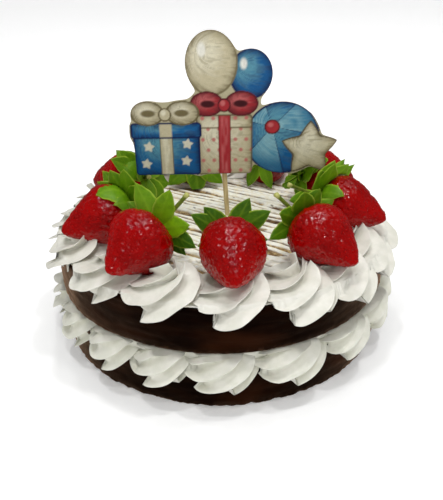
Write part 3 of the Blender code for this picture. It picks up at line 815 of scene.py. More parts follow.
#  turn of the first fin: where its corner hangs over the edge
START = {2: 293.0, 3: 262.0, 4: 246.0, 5: 241.0, 6: 208.0}
SIT = {2: 1.5, 3: 3.2, 4: 1.5}                    # higher than the rest
DEEP = {0: 1.2, 1: 1.2, 2: 1.15, 6: 1.25, 7: 1.35, 8: 1.3}     # hollows of the fins
SAG = {5: 2.8, 6: 5.2, 7: 2.4}                    # or hanging lower over the edge
for i, angle in enumerate(ROSETTES):
    behind, ahead = spacing(ROSETTES, i, 92.0)
    rng = np.random.default_rng(500 + i)
    v, q, t, stain = swirl(
        angle, 87.2 + rng.uniform(-0.6, 0.6), 54.4 + rng.uniform(-0.5, 0.8) + SIT.get(i, 0.0),
        22.0 + rng.uniform(-1.0, 1.0), 22.4, 23.0, 5, 165.0 + rng.uniform(-12.0, 12.0),
        START.get(i, 37.0 * i), 40 + 13 * i, (100.4, 63.3), half=ahead,
        walls=(behind + 2.0, ahead + 2.0), inner=66.0, deep=DEEP.get(i, 1.06),
        lean=(6.5 + rng.uniform(-1.5, 1.5), 2.5), sag=SAG.get(i, 0.0))
    sh = Shell()
    sh.add(v, q, t, stain=stain)
    sh.make("rosette_%02d_looks" % (i + 1), [CREAM], "rosette_%02d" % (i + 1))


def border():
    sh = Shell()
    # the sheet of cream between the layers
    cols = 360
    ang = np.linspace(0.0, 360.0, cols, endpoint=False)
    prof = [(70.0, 27.6), (95.0, 27.6), (97.0, 28.4), (97.6, 30.0), (97.6, 32.0),
            (97.0, 33.8), (95.0, 34.7), (70.0, 34.7)]
    pr = np.array(prof)
    P = polar(ang[None, :], pr[:, 0][:, None], pr[:, 1][:, None])
    P += polar(ang, 1.0, 0.0)[None] * (0.7 * noise(P, 5.0, 71))[..., None]
    v, q, t = closed_tube(P, (0, 0, 27.6), (0, 0, 34.7))
    sh.add(v, q, t)
    for i, angle in enumerate(BORDER):
        behind, ahead = spacing(BORDER, i, 103.0)
        rng = np.random.default_rng(900 + i)
        v, q, t, _ = swirl(
            angle, 95.0, 16.6 + rng.uniform(-0.6, 1.4), 37.0, 15.6 + rng.uniform(-0.4, 0.4),
            0.5 * (behind + ahead) * 1.14, 5, 270.0 + rng.uniform(-14.0, 14.0),
            47.0 * i + 10.0, 2000 + 13 * i, (100.3, 27.7), top_z=34.2, rows=42,
            rise=8.0, deep=1.15, half=0.5 * (behind + ahead), berry_push=False,
            walls=(behind + 1.5, ahead + 1.5), inner=80.0)
        sh.add(v, q, t)
    sh.make("cream_border_looks", [CREAM_MID], "cream_filling")


border()


# --------------------------------------------------------- streaked top
def streaked_top():
    """Cream drizzled in lines that run down to the right seen from the front."""
    lean = math.radians(-32.0)
    du = np.array([math.cos(lean), math.sin(lean)])
    dv = np.array([-math.sin(lean), math.cos(lean)])
    R = 98.4
    nv, nu = 310, 116
    vv = np.linspace(-1.0, 1.0, nv)
    uu = np.linspace(-1.0, 1.0, nu)
    U, V = np.meshgrid(uu, vv, indexing="ij")
    # square to disc, keeping the lines straight near the middle
    x = U * np.sqrt(1.0 - V * V / 2.0) * R
    y = V * np.sqrt(1.0 - U * U / 2.0) * R
    XY = x[..., None] * du + y[..., None] * dv
    P = np.concatenate([XY, np.zeros_like(x)[..., None]], -1)
    h = np.zeros_like(x)
    best = np.full_like(x, 99.0)
    rng = np.random.default_rng(77)
    pitch = 3.9
    count = int(2 * R / pitch) + 8
    for k in range(count):
        c = -R - 8.0 + pitch * k + rng.uniform(-1.2, 1.2)
        tilt = rng.normal(0.0, 0.045)
        line = np.stack([x, np.full_like(x, 31.0 * k), np.zeros_like(x)], -1)
        c = c + tilt * x + 1.1 * noise(line, 22.0, 5) + 0.35 * noise(line, 6.0, 6)
        wide = (1.25 + 0.45 * noise(line, 15.0, 8) + rng.uniform(-0.25, 0.35))
        wide = np.maximum(wide, 0.45)
        ends = rng.uniform(-0.2, 1.0, 2)
        d = np.abs(y - c) / wide
        ridge = np.where(d < 1.0, np.sqrt(np.clip(1.0 - d * d, 0, 1)), 0.0)
        ridge = ridge * (1.15 + 0.35 * noise(line, 12.0, 9))
        h = np.maximum(h, ridge)
        best = np.minimum(best, d)
    gap = step(best, 0.80, 1.18)
    patch = fbm(P, (17.0, 9.0, 9.0), 2, 31)
    smooth_patch = step(patch, 0.34, 0.5)
    gap = gap * (1.0 - 0.85 * smooth_patch)
    h = h * (1.0 - 0.5 * smooth_patch) + 0.6 * smooth_patch
    under = 1.0 - step(np.hypot(P[..., 0], P[..., 1]), 70.0, 77.0)
    gap, h = gap * under, h * under
    P[..., 2] = 62.3 + h + 0.12 * fbm(P, 3.0, 2, 12)
    speck = np.zeros_like(h)
    for _ in range(46):
        cx, cy = rng.uniform(-60, 66), rng.uniform(-62, 62)
        rr = rng.uniform(0.5, 1.1)
        d = np.hypot(P[..., 0] - cx, P[..., 1] - cy)
        speck = np.maximum(speck, 1.0 - step(d, rr * 0.6, rr * 1.1))
    v = P.reshape(-1, 3)
    q = sheet(nu, nv, wrap=False)
    # skirt and underside
    idx = np.arange(nu * nv).reshape(nu, nv)
    loop = np.concatenate([idx[0, :-1], idx[:-1, -1], idx[-1, :0:-1], idx[:0:-1, 0]])
    low = v[loop].copy()
    low[:, 2] = 61.6
    n0 = len(v)
    v = np.concatenate([v, low, [[0, 0, 61.6]]])
    m = len(loop)
    k = np.arange(m)
    skirt = np.stack([loop, loop[(k + 1) % m], n0 + (k + 1) % m, n0 + k], -1)
    tris = fan(n0 + k, n0 + m)
    sh = Shell()
    sh.add(v, np.concatenate([q[:, ::-1], skirt]), tris, gap=np.concatenate([gap.ravel(), np.zeros(m + 1)]),
           speck=np.concatenate([speck.ravel(), np.zeros(m + 1)]))
    sh.make("cream_top_looks", [STREAKED], "cream_top")


streaked_top()


# ------------------------------------------------------- leaves and stems
#  each leaf: turn round the berry's axis, lift away from the berry, length,
#  width, curl of the tip, lightness
LEAVES = {
    0: [(146, 8, 23.5, 10.5, 8, 0.10), (130, 18, 20.5, 11.0, 5, 0.05),
        (60, 22, 22.0, 11.5, 6, 0.10), (34, 5, 24.5, 11.5, 10, 0.12),
        (-12, 4, 20.0, 9.0, 12, 0.15), (192, -8, 17.0, 8.0, 10, 0.1),
        (232, -6, 16.0, 8.0, 10, 0.1), (300, -6, 15.0, 8.0, 10, 0.1)],
    1: [(152, 8, 20.5, 11.0, 8, 0.25), (-172, 0, 24.0, 9.5, 8, 0.25),
        (104, 4, 20.0, 14.0, 6, 0.30), (70, 4, 19.0, 12.0, 8, 0.35),
        (28, -6, 20.0, 10.0, 10, 0.5), (255, -5, 15.0, 8.0, 8, 0.2),
        (320, 0, 15.0, 8.0, 8, 0.2)],
    2: [(180, 48, 24.0, 11.0, 10, 0.5), (60, -18, 24.0, 13.0, 8, 0.6), (104, 0, 24.5, 14.0, 8, 0.6),
        (112, 16, 21.0, 13.0, 8, 0.5), (44, -10, 28.0, 9.0, 8, 0.75),
        (46, -24, 28.0, 8.5, 8, 0.75), (142, -30, 22.0, 9.5, 12, 0.45),
        (70, 0, 22.0, 13.0, 8, 0.6), (-60, -10, 19.0, 10.0, 10, 0.5),
        (235, 10, 17.0, 9.0, 10, 0.4)],
    3: [(144, 36, 23.0, 14.0, 8, 0.45), (148, 4, 21.0, 15.0, 8, 0.5),
        (196, 52, 24.0, 13.0, 8, 0.4), (128, -28, 20.0, 12.0, 8, 0.55),
        (-45, 8, 20.0, 10.0, 8, 0.5), (-140, 5, 20.0, 11.0, 8, 0.4),
        (75, 20, 22.0, 10.0, 6, 0.6)],
    4: [(-25, 25, 19.0, 9.0, 8, 0.5), (-118, 5, 21.5, 9.0, 8, 0.5),
        (-70, 6, 21.0, 9.0, 8, 0.5), (35, 15, 20.0, 9.0, 8, 0.5),
        (100, 15, 20.0, 9.0, 8, 0.5), (170, 15, 20.0, 9.0, 8, 0.5)],
    5: [(-37, -6, 25.0, 14.0, 8, 0.45), (-85, 12, 24.0, 15.0, 6, 0.4),
        (-130, 22, 25.0, 14.0, 6, 0.45), (175, 20, 26.0, 13.0, 6, 0.5),
        (40, 15, 20.0, 9.0, 8, 0.5), (100, 15, 20.0, 9.0, 8, 0.5)],
    6: [(-148, 18, 21.5, 14.0, 8, 0.45), (-132, 8, 20.5, 13.0, 6, 0.45),
        (48, -18, 27.0, 14.0, 8, 0.4), (64, -12, 25.0, 12.0, 8, 0.5),
        (84, -34, 24.0, 14.0, 8, 0.45), (48, 20, 22.0, 14.0, 8, 0.5),
        (172, -6, 20.0, 13.0, 8, 0.55), (-60, 10, 20.0, 12.0, 8, 0.5),
        (-100, 20, 20.0, 12.0, 8, 0.45), (95, 10, 18.0, 12.0, 6, 0.55)],
    7: [(74, -46, 22.0, 15.0, 6, 0.55), (40, -46, 14.0, 11.0, 6, 0.45),
        (124, -30, 22.5, 12.5, 14, 0.6),
        (120, -15, 25.0, 14.0, 10, 0.6), (98, -10, 24.0, 15.0, 8, 0.5),
        (82, 4, 24.5, 15.0, 6, 0.55), (132, -2, 21.0, 15.0, 6, 0.5),
        (56, 12, 20.5, 13.0, 8, 0.5), (168, 26, 20.5, 12.0, 8, 0.45),
        (-20, 6, 18.0, 10.0, 8, 0.4), (176, 0, 15.0, 9.0, 8, 0.35),
        (-110, 0, 15.0, 8.0, 8, 0.3)],
    8: [(68, 24, 24.5, 12.5, 6, 0.75), (12, 20, 20.5, 12.0, 6, 1.0),
        (-28, 50, 18.0, 9.0, 6, 0.5), (124, 16, 26.0, 13.0, 8, 0.65),
        (148, 4, 21.0, 11.0, 8, 0.4), (-16, 8, 24.5, 10.5, 10, 0.05),
        (-40, 4, 20.5, 9.0, 8, 0.0), (190, 5, 15.0, 8.0, 8, 0.3)],
}
#  stem: turn, lift, length, bow
STEMS = {0: (200, 50, 9.0, 0.2), 1: (132, 26, 26.0, 0.08), 2: (144, 52, 27.0, 0.08),
         3: (150, 60, 14.0, 0.1), 4: (-40, 60, 12.0, 0.1), 5: (-60, 60, 12.0, 0.1),
         6: (20, 44, 15.0, 0.0), 7: (198, 2, 15.0, 0.0), 8: (52, 42, 26.5, 0.03)}
OPEN = unit(np.array([0.0, -0.80, 0.60]))     # the leaves turn up to the front


def leaf_width(s):
    """Half width share along a pointed oval leaf."""
    x = np.array([0.0, 0.08, 0.2, 0.34, 0.48, 0.62, 0.75, 0.86, 0.94, 1.0])
    y = np.array([0.42, 0.56, 0.80, 0.96, 1.0, 0.90, 0.68, 0.42, 0.19, 0.0])
    return np.interp(s, x, y)


def behind_card(v):
    """Leaves that reach the card bend back and lie close behind it."""
    y0, y1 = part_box("topper_card")[1][1] / MM + 0.4, 6.0
    v = np.array(v, float)
    y = np.minimum(v[:, 1], y1)
    bent = y0 + (y1 - y0) * np.exp((y - y1) / (y1 - y0))
    v[:, 1] = np.where(v[:, 1] < y1, bent, v[:, 1])
    return v


def make_calyx(i):
    b = berries[i]
    sh = Shell()
    rng = np.random.default_rng(3000 + i)
    base = b.tip + b.axis * (b.length - 1.2)
    for n, (psi, lift, length, width, curl, tone) in enumerate(LEAVES[i]):
        p0, e = math.radians(psi), math.radians(lift)
        ray = math.cos(p0) * b.side + math.sin(p0) * b.up
        rows, cols = 22, 11
        s = np.linspace(0.0, 1.0, rows)
        # the midrib leaves the hub on its own heading and bends near the tip
        ang = e + math.radians(curl) * (2.0 * s - 1.0) * -1.0
        step_len = length / (rows - 1.0)
        spine = [base + ray * 0.8 + b.axis * (0.3 + 0.12 * n)]
        for k in range(1, rows):
            a = ang[k]
            spine.append(spine[-1] + step_len * (math.cos(a) * ray + math.sin(a) * b.axis))
        spine = np.array(spine)
        tang = unit(np.gradient(spine, axis=0))
        flat = b.axis * (1.0 if b.axis @ OPEN > 0.0 else -1.0)
        flat = unit(0.30 * flat + 0.70 * OPEN) if i not in (3, 4) else unit(0.7 * flat + 0.3 * OPEN)
        if lift < -35.0:                       # this one lies on the berry
            flat = ray
        across = unit(np.cross(flat, unit(spine[-1] - spine[0])))
        nor = unit(np.cross(tang, across))
        nor = np.where((nor @ b.axis < 0)[:, None], -nor, nor)
        w = leaf_width(s) * width / 2.0
        c = np.linspace(-1.0, 1.0, cols)
        fold = rng.uniform(0.05, 0.22)
        ripple = 0.45 * np.sin(6.0 * s[:, None] * 3.0 + 2.0 * c[None, :] + n) * np.abs(c)[None, :] ** 2
        rag = 1.0 + 0.025 * np.sin(34.0 * s + n) + 0.012 * rng.normal(0, 1, rows)
        side_off = (w * rag)[:, None] * c[None, :]
        lift_off = np.abs(side_off) * fold + ripple * 0.9 * (s[:, None])
        vein_c = np.exp(-(np.abs(c) / 0.10) ** 2)[None, :] * np.ones((rows, 1))
        ribs = np.exp(-((((s[:, None] * 6.0 - 1.4 * np.abs(c)[None, :]) % 1.0) - 0.5) / 0.13) ** 2)
        ribs = ribs * (1.0 - np.abs(c)[None, :] ** 3) * 0.55
        vein = np.maximum(vein_c, ribs) * (1.0 - step(s, 0.85, 1.0))[:, None]
        P = spine[:, None, :] + side_off[..., None] * across + lift_off[..., None] * nor[:, None, :]
        free = P
        for other in berries:
            P = other.drape(P, 0.9 + 0.10 * n)
        # the part at the hub stays where it was
        P = free + (P - free) * step(s, 0.08, 0.30)[:, None, None]
        thick = 0.28 * (1.0 - np.abs(c)[None, :] ** 4) + 0.06
        top = P + nor[:, None, :] * (thick - 0.10 * vein)[..., None]
        bot = P - nor[:, None, :] * thick[..., None]
        ringed = np.concatenate([top, bot[:, ::-1]], 1)        # (rows, 2*cols, 3)
        v, q, t = closed_tube(ringed, ringed[0].mean(0), ringed[-1].mean(0))
        v[:, 2] = np.maximum(v[:, 2], TOP_CREAM + 0.9)
        edge = step(np.abs(c), 0.86, 1.0)[None, :] * np.ones((rows, 1)) * 0.8
        edge = np.maximum(edge, step(s, 0.93, 1.0)[:, None] * 0.5)
        two = lambda m: np.concatenate([np.concatenate([m, m[:, ::-1]], 1).ravel(), [0.0, 0.0]])
        shade = np.clip(tone + 0.06 * np.sin(5.0 * s)[:, None] * np.ones((1, cols)), 0, 1)
        if i == 3:
            v = behind_card(v)
        sh.add(v, q, t, slot=0, vein=two(vein * 0.6), edge=two(edge), tone=two(shade))
    # hub and stem
    psi, lift, length, bow = STEMS[i]
    p0, e = math.radians(psi), math.radians(lift)
    ray = math.cos(p0) * b.side + math.sin(p0) * b.up
    heading = math.cos(e) * ray + math.sin(e) * b.axis
    rows, cols = 26, 16
    s = np.linspace(0.0, 1.0, rows)
    start = base + b.axis * 0.2
    mid = start + b.axis * length * 0.25 + heading * length * 0.25
    end = start + heading * length + np.array([0, 0, -bow * length])
    path = ((1 - s) ** 2)[:, None] * start + (2 * s * (1 - s))[:, None] * mid + (s ** 2)[:, None] * end
    tang = unit(np.gradient(path, axis=0))
    ref = unit(np.cross(tang, b.side + 0.01))
    oth = unit(np.cross(tang, ref))
    rad = 1.05 + 2.2 * np.exp(-s * 9.0) + 0.45 * step(s, 0.86, 1.0)
    a = np.linspace(0.0, 2.0 * np.pi, cols, endpoint=False)
    wob = 1.0 + 0.07 * np.sin(3 * a)[None, :] + 0.05 * np.sin(9.0 * s + i)[:, None]
    P = (path[:, None, :] + (rad[:, None] * wob * np.cos(a))[..., None] * ref[:, None, :] +
         (rad[:, None] * wob * np.sin(a))[..., None] * oth[:, None, :])
    v, q, t = closed_tube(P, P[0].mean(0), P[-1].mean(0) + tang[-1] * 0.25)
    cut = np.zeros((rows, cols))
    cut[-2:] = 0.8
    if i == 3:
        v = behind_card(v)
    sh.add(v, q, t, slot=1, cut=np.concatenate([cut.ravel(), [0.0, 1.0]]))
    sh.make("calyx_%02d_looks" % (i + 1), [LEAF, STEM], "calyx_%02d" % (i + 1))


for n in range(9):
    make_calyx(n)


# ---------------------------------------------------------------- topper
STICK_X, STICK_Y, STICK_R, STICK_LEAN = 4.2, 5.0, 1.5, -3.2
STICK_TOP = 136.0
CARD_X, CARD_BOTTOM, CARD_THICK = 5.0, 91.0, 1.2
CARD_FRONT = STICK_Y - (STICK_R + 0.3 + CARD_THICK)


def make_stick():
    rows, cols = 90, 28
    z = np.linspace(TOP_CREAM - 12.0, STICK_TOP, rows)
    a = np.linspace(0.0, 2.0 * np.pi, cols, endpoint=False)
    lean = math.tan(math.radians(STICK_LEAN))
    cx = STICK_X + (z - TOP_CREAM) * lean
    r = STICK_R * (1.0 + 0.03 * noise(np.stack([z, z * 0, z * 0], -1), 9.0, 4))
    Z, A = np.meshgrid(z, a, indexing="ij")
    rr = r[:, None] + 0.05 * noise(np.stack([np.cos(A) * 6, np.sin(A) * 6, Z * 0.04], -1), 1.0, 2)
    rr = rr * np.where(np.arange(rows)[:, None] == rows - 1, 0.86, 1.0)
    P = np.stack([cx[:, None] + rr * np.cos(A), STICK_Y + rr * np.sin(A), Z], -1)
    v, q, t = closed_tube(P, P[0].mean(0), P[-1].mean(0))
    high = np.clip((v[:, 2] - 84.0) / 22.0, 0.0, 1.0) * 0.55
    sh = Shell()
    sh.add(v, q, t, high=high)
    sh.make("topper_stick_looks", [WOOD], "topper_stick")


make_stick()


def disc(x, z, cx, cz, rx, rz):
    return (np.hypot((x - cx) / rx, (z - cz) / rz) - 1.0) * min(rx, rz)


def box(x, z, x0, x1, z0, z1, r):
    dx = np.abs(x - (x0 + x1) / 2.0) - (x1 - x0) / 2.0 + r
    dz = np.abs(z - (z0 + z1) / 2.0) - (z1 - z0) / 2.0 + r
    return np.hypot(np.maximum(dx, 0), np.maximum(dz, 0)) + np.minimum(np.maximum(dx, dz), 0) - r


def star5(x, z, cx, cz, radius, turn):
    a = np.arctan2(z - cz, x - cx) + turn
    sector = 2.0 * np.pi / 5.0
    w = np.abs((a % sector) - sector / 2.0) / (sector / 2.0)
    edge = radius * (0.60 + 0.40 * w ** 1.6)
    return (np.hypot(x - cx, z - cz) - edge) * 0.8


def card_field(x, z):
    parts = [box(x, z, -55.5, -17.0, 1.0, 29.0, 2.0), box(x, z, -56.6, -16.0, 24.0, 32.5, 1.6),
             disc(x, z, -46.5, 38.5, 9.5, 7.0), disc(x, z, -27.0, 38.5, 9.5, 7.0),
             disc(x, z, -36.5, 36.0, 5.0, 6.0), box(x, z, -18.0, 14.0, 1.0, 37.0, 2.0),
             disc(x, z, -12.0, 43.5, 9.5, 7.0), disc(x, z, 8.0, 43.5, 9.5, 7.0),
             disc(x, z, -2.0, 44.0, 7.0, 8.0), disc(x, z, 32.0, 22.5, 21.5, 21.5),
             disc(x, z, -9.0, 66.2, 14.5, 17.5), disc(x, z, 13.5, 60.0, 12.0, 13.5),
             star5(x, z, 48.5, 15.5, 17.0, math.radians(-90.0))]
    k = 2.2
    total = sum(np.exp(-d / k) for d in parts)
    return -k * np.log(np.maximum(total, 1e-12))


def blend_in(art, mask, colour):
    c = np.array(lin(*colour)[:3])
    return art * (1.0 - mask[..., None]) + c * mask[..., None]


def card_art(x, z):
    """Flat picture in simple shapes: two wrapped presents with bows, two
    balloons, a big ball and a star, brushed in short strokes."""
    P = np.stack([x, z, np.zeros_like(x)], -1)

    def strokes(cx, cz, seed):
        """Short brush strokes that fan out from a point."""
        a = np.arctan2(z - cz, x - cx)
        r = np.hypot(x - cx, z - cz)
        q = np.stack([a * np.maximum(r, 3.0) * 1.1, r * 0.24, np.zeros_like(a)], -1)
        return 0.65 * noise(q, 1.0, seed) + 0.35 * noise(P, 4.5, seed + 1)

    def inside(d, soft=0.35):
        return 1.0 - step(d, -soft, soft)

    def line(d, width=0.8):
        return 1.0 - step(np.abs(d), width * 0.4, width)

    blue, pale, deep, navy = (4, 92, 152), (96, 160, 178), (0, 46, 112), (0, 24, 80)
    cream, light, olive = (204, 194, 160), (232, 226, 200), (150, 138, 98)
    rose, red, wine = (204, 104, 104), (176, 40, 48), (96, 16, 28)
    art = np.ones(x.shape + (3,)) * np.array(lin(190, 182, 148)[:3])

    def body(art, d, cx, cz, rx, rz, seed, base, lit_hue, low_hue, rim_hue, lit_at=(-0.2, 0.35)):
        m = inside(d - 0.2)
        f = strokes(cx + lit_at[0] * rx, cz + lit_at[1] * rz, seed)
        art = blend_in(art, m, base)
        lit = np.clip(1.0 - np.hypot((x - cx - lit_at[0] * rx) / rx, (z - cz - lit_at[1] * rz) / rz), 0, 1)
        art = blend_in(art, m * np.clip(1.5 * lit + 0.6 * f - 0.1, 0.0, 0.9), lit_hue)
        art = blend_in(art, m * step(f, 0.05, 0.55) * 0.5, low_hue)
        rim = np.clip((d + 4.2) / 4.2, 0.0, 1.0) ** 1.4
        return blend_in(art, m * rim * (0.55 + 0.4 * step(f, -0.3, 0.3)), rim_hue)

    def bow(art, cx, cz, wide, tall, seed, base, lit_hue, low_hue, rim_hue, fold):
        for side in (-1.0, 1.0):
            bx = cx + side * wide
            d = disc(x, z, bx, cz, wide * 0.92, tall)
            art = body(art, d, bx, cz, wide, tall, seed, base, lit_hue, low_hue, rim_hue)
            art = blend_in(art, inside(disc(x, z, bx - side * 0.5, cz, wide * 0.42, tall * 0.30), 0.5), fold)
            art = blend_in(art, line(d, 0.6), rim_hue)
        knot = disc(x, z, cx, cz - 0.8, 3.4, 3.6)
        art = blend_in(art, inside(knot), base)
        art = blend_in(art, inside(disc(x, z, cx - 0.8, cz + 0.4, 1.4, 1.6), 0.6), lit_hue)
        return blend_in(art, line(knot, 0.6), rim_hue)

    # balloons, the blue one behind
    for cx, cz, rx, rz, seed, hues in (
            (13.5, 60.0, 12.0, 13.5, 41, (blue, pale, deep, navy)),
            (-9.0, 66.2, 14.5, 17.5, 43, (cream, light, olive, (120, 108, 74)))):
        d = disc(x, z, cx, cz, rx, rz)
        art = body(art, d, cx, cz, rx, rz, seed, *hues, lit_at=(-0.25, 0.3))
        art = blend_in(art, inside(disc(x, z, cx - 0.36 * rx, cz + 0.42 * rz, 0.16 * rx, 0.22 * rz), 0.8) * 0.9,
                       (246, 244, 232))
        art = blend_in(art, line(d, 0.7) * 0.8, hues[3])
        neck = disc(x, z, cx, cz - rz - 1.0, 2.0, 1.8)
        art = blend_in(art, inside(neck, 0.3), hues[2])
    # ball with panels
    cx, cz, R = 32.0, 22.5, 21.5
    d = disc(x, z, cx, cz, R, R)
    art = body(art, d, cx, cz, R, R, 47, blue, pale, deep, navy)
    m = inside(d - 0.2)
    turn = np.arctan2(z - cz - 7.0, x - cx + 6.0)
    f = strokes(cx - 6.0, cz + 7.0, 48)
    panel = step(np.sin(3.0 * turn + 0.7), 0.05, 0.16)
    shade = np.clip((np.hypot(x - cx + 5.0, z - cz - 6.0) / R) ** 2, 0, 1.3)
    art = blend_in(art, m * panel, (70, 138, 168))
    art = blend_in(art, m * panel * np.clip(0.5 + 0.6 * f - 0.4 * shade, 0, 0.8), (150, 196, 204))
    art = blend_in(art, m * panel * step(shade + 0.3 * f, 0.5, 1.3) * 0.8, (20, 92, 140))
    art = blend_in(art, m * (1.0 - step(np.abs(np.sin(3.0 * turn + 0.7) - 0.1), 0.03, 0.09)) * 0.7, navy)
    cap = disc(x, z, cx - 6.0, cz + 7.0, 4.2, 4.0)
    art = blend_in(art, inside(cap), red)
    art = blend_in(art, inside(disc(x, z, cx - 7.0, cz + 8.2, 1.6, 1.3), 0.6), rose)
    art = blend_in(art, line(cap, 0.6), wine)
    art = blend_in(art, line(d, 0.8), navy)
    # star
    d = star5(x, z, 48.5, 15.5, 17.0, math.radians(-90.0))
    art = body(art, d, 48.5, 15.5, 17.0, 17.0, 51, cream, light, olive, (128, 114, 74))
    art = blend_in(art, line(d, 0.7) * 0.9, (84, 72, 46))
    # tall present: cream paper with dots, red ribbon and bow
    gift = box(x, z, -18.0, 14.0, 1.0, 37.0, 2.0)
    art = body(art, gift, -2.0, 19.0, 18.0, 22.0, 55, cream, light, olive, (134, 122, 84))
    m = inside(gift)
    dots = np.hypot((x + 2.0 + 3.2 * (np.floor(z / 6.4) % 2)) % 6.4 - 3.2, z % 6.4 - 3.2)
    art = blend_in(art, m * inside(dots - 1.15, 0.4) * 0.85, rose)
    art = blend_in(art, m * inside(np.abs(z - 29.5) - 0.5) * 0.8, (112, 100, 66))
    band = np.abs(x + 2.0) - 3.4
    f = noise(P * (1.0, 0.2, 1.0), 1.1, 57)
    art = blend_in(art, m * inside(band), red)
    art = blend_in(art, m * inside(band + 1.4, 0.8) * np.clip(0.4 + 0.6 * f, 0, 0.8), rose)
    art = blend_in(art, m * line(band, 0.5) * 0.8, wine)
    art = blend_in(art, line(gift, 0.7) * 0.8, (84, 72, 46))
    art = bow(art, -2.0, 43.5, 10.0, 6.8, 59, red, rose, (140, 24, 34), wine, (72, 12, 22))
    # wide present: blue paper, cream ribbon and bow
    gift = box(x, z, -55.5, -17.0, 1.0, 29.0, 2.0)
    art = body(art, gift, -36.0, 15.0, 21.0, 17.0, 61, blue, pale, deep, navy)
    m = inside(gift)
    for cx, cz in ((-49.0, 8.0), (-47.0, 18.5), (-25.0, 9.5), (-24.0, 20.0)):
        s5 = star5(x, z, cx, cz, 3.4, math.radians(-80.0))
        art = blend_in(art, m * inside(s5, 0.35) * 0.9, light)
    band = np.abs(x + 36.5) - 3.6
    f = noise(P * (1.0, 0.2, 1.0), 1.1, 63)
    art = blend_in(art, m * inside(band), cream)
    art = blend_in(art, m * inside(band + 1.4, 0.8) * np.clip(0.4 + 0.6 * f, 0, 0.8), light)
    art = blend_in(art, m * line(band, 0.5) * 0.8, (96, 84, 56))
    art = blend_in(art, line(gift, 0.7), navy)
    lid = box(x, z, -56.6, -16.0, 24.0, 32.5, 1.6)
    art = body(art, lid, -36.0, 29.0, 22.0, 6.0, 65, (14, 104, 166), pale, deep, navy)
    art = blend_in(art, inside(lid) * inside(band), cream)
    art = blend_in(art, line(lid, 0.7), navy)
    art = bow(art, -36.5, 38.5, 10.2, 6.8, 67, cream, light, olive, (110, 98, 64), (120, 108, 72))
    art = art * (0.94 + 0.06 * noise(P, 1.2, 90))[..., None]
    return np.clip(art, 0.0, 1.0)


def make_card():
    cell = 0.52
    xs = np.arange(-62.0, 70.0, cell)
    zs = np.arange(-4.0, 88.0, cell)
    X, Z = np.meshgrid(xs, zs, indexing="ij")
    F = card_field(X, Z)
    inner = F < 0.12 * cell
    cells = inner[:-1, :-1] & inner[1:, :-1] & inner[1:, 1:] & inner[:-1, 1:]
    idx = np.arange(X.size).reshape(X.shape)
    q = np.stack([idx[:-1, :-1][cells], idx[1:, :-1][cells], idx[1:, 1:][cells],
                  idx[:-1, 1:][cells]], -1)
    used = np.unique(q)
    remap = np.full(X.size, -1)
    remap[used] = np.arange(len(used))
    q = remap[q]
    x, z = X.ravel()[used].copy(), Z.ravel()[used].copy()
    # border vertices move on to the outline
    edges = np.concatenate([q[:, [0, 1]], q[:, [1, 2]], q[:, [2, 3]], q[:, [3, 0]]])
    key = np.sort(edges, 1)
    uniq, inverse, counts = np.unique(key, axis=0, return_inverse=True, return_counts=True)
    border = edges[counts[inverse.ravel()] == 1]
    bv = np.unique(border)
    for _ in range(5):
        e = 0.05
        f = card_field(x[bv], z[bv])
        gx = (card_field(x[bv] + e, z[bv]) - card_field(x[bv] - e, z[bv])) / (2 * e)
        gz = (card_field(x[bv], z[bv] + e) - card_field(x[bv], z[bv] - e)) / (2 * e)
        g2 = np.maximum(gx * gx + gz * gz, 0.05)
        x[bv] -= np.clip(f * gx / g2, -0.5, 0.5)
        z[bv] -= np.clip(f * gz / g2, -0.5, 0.5)
    z = np.minimum(z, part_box("topper_card")[1][2] / MM - CARD_BOTTOM - 0.02)
    art = card_art(x, z)
    n = len(x)
    front = np.stack([CARD_X + x, np.full(n, CARD_FRONT), CARD_BOTTOM + z], -1)
    back = front + (0.0, CARD_THICK, 0.0)
    v = np.concatenate([front, back])
    wall = np.stack([border[:, 0], border[:, 0] + n, border[:, 1] + n, border[:, 1]], -1)
    quads = np.concatenate([q, q[:, ::-1] + n, wall])
    if volume(v, quads, np.zeros((0, 3), int)) < 0:
        quads = quads[:, ::-1]
    sh = Shell()
    sh.add(v, quads)
    ob = sh.make("topper_card_looks", [CARD], "topper_card", smooth=False)
    layer = ob.data.attributes.new("art", "FLOAT_COLOR", "POINT")
    paper = np.array(lin(206, 198, 178)[:3]) * np.ones((n, 3))
    rgba = np.ones((2 * n, 4))
    rgba[:n, :3] = art
    rgba[n:, :3] = paper
    layer.data.foreach_set("color", rgba.astype(np.float32).ravel())
    return ob


make_card()


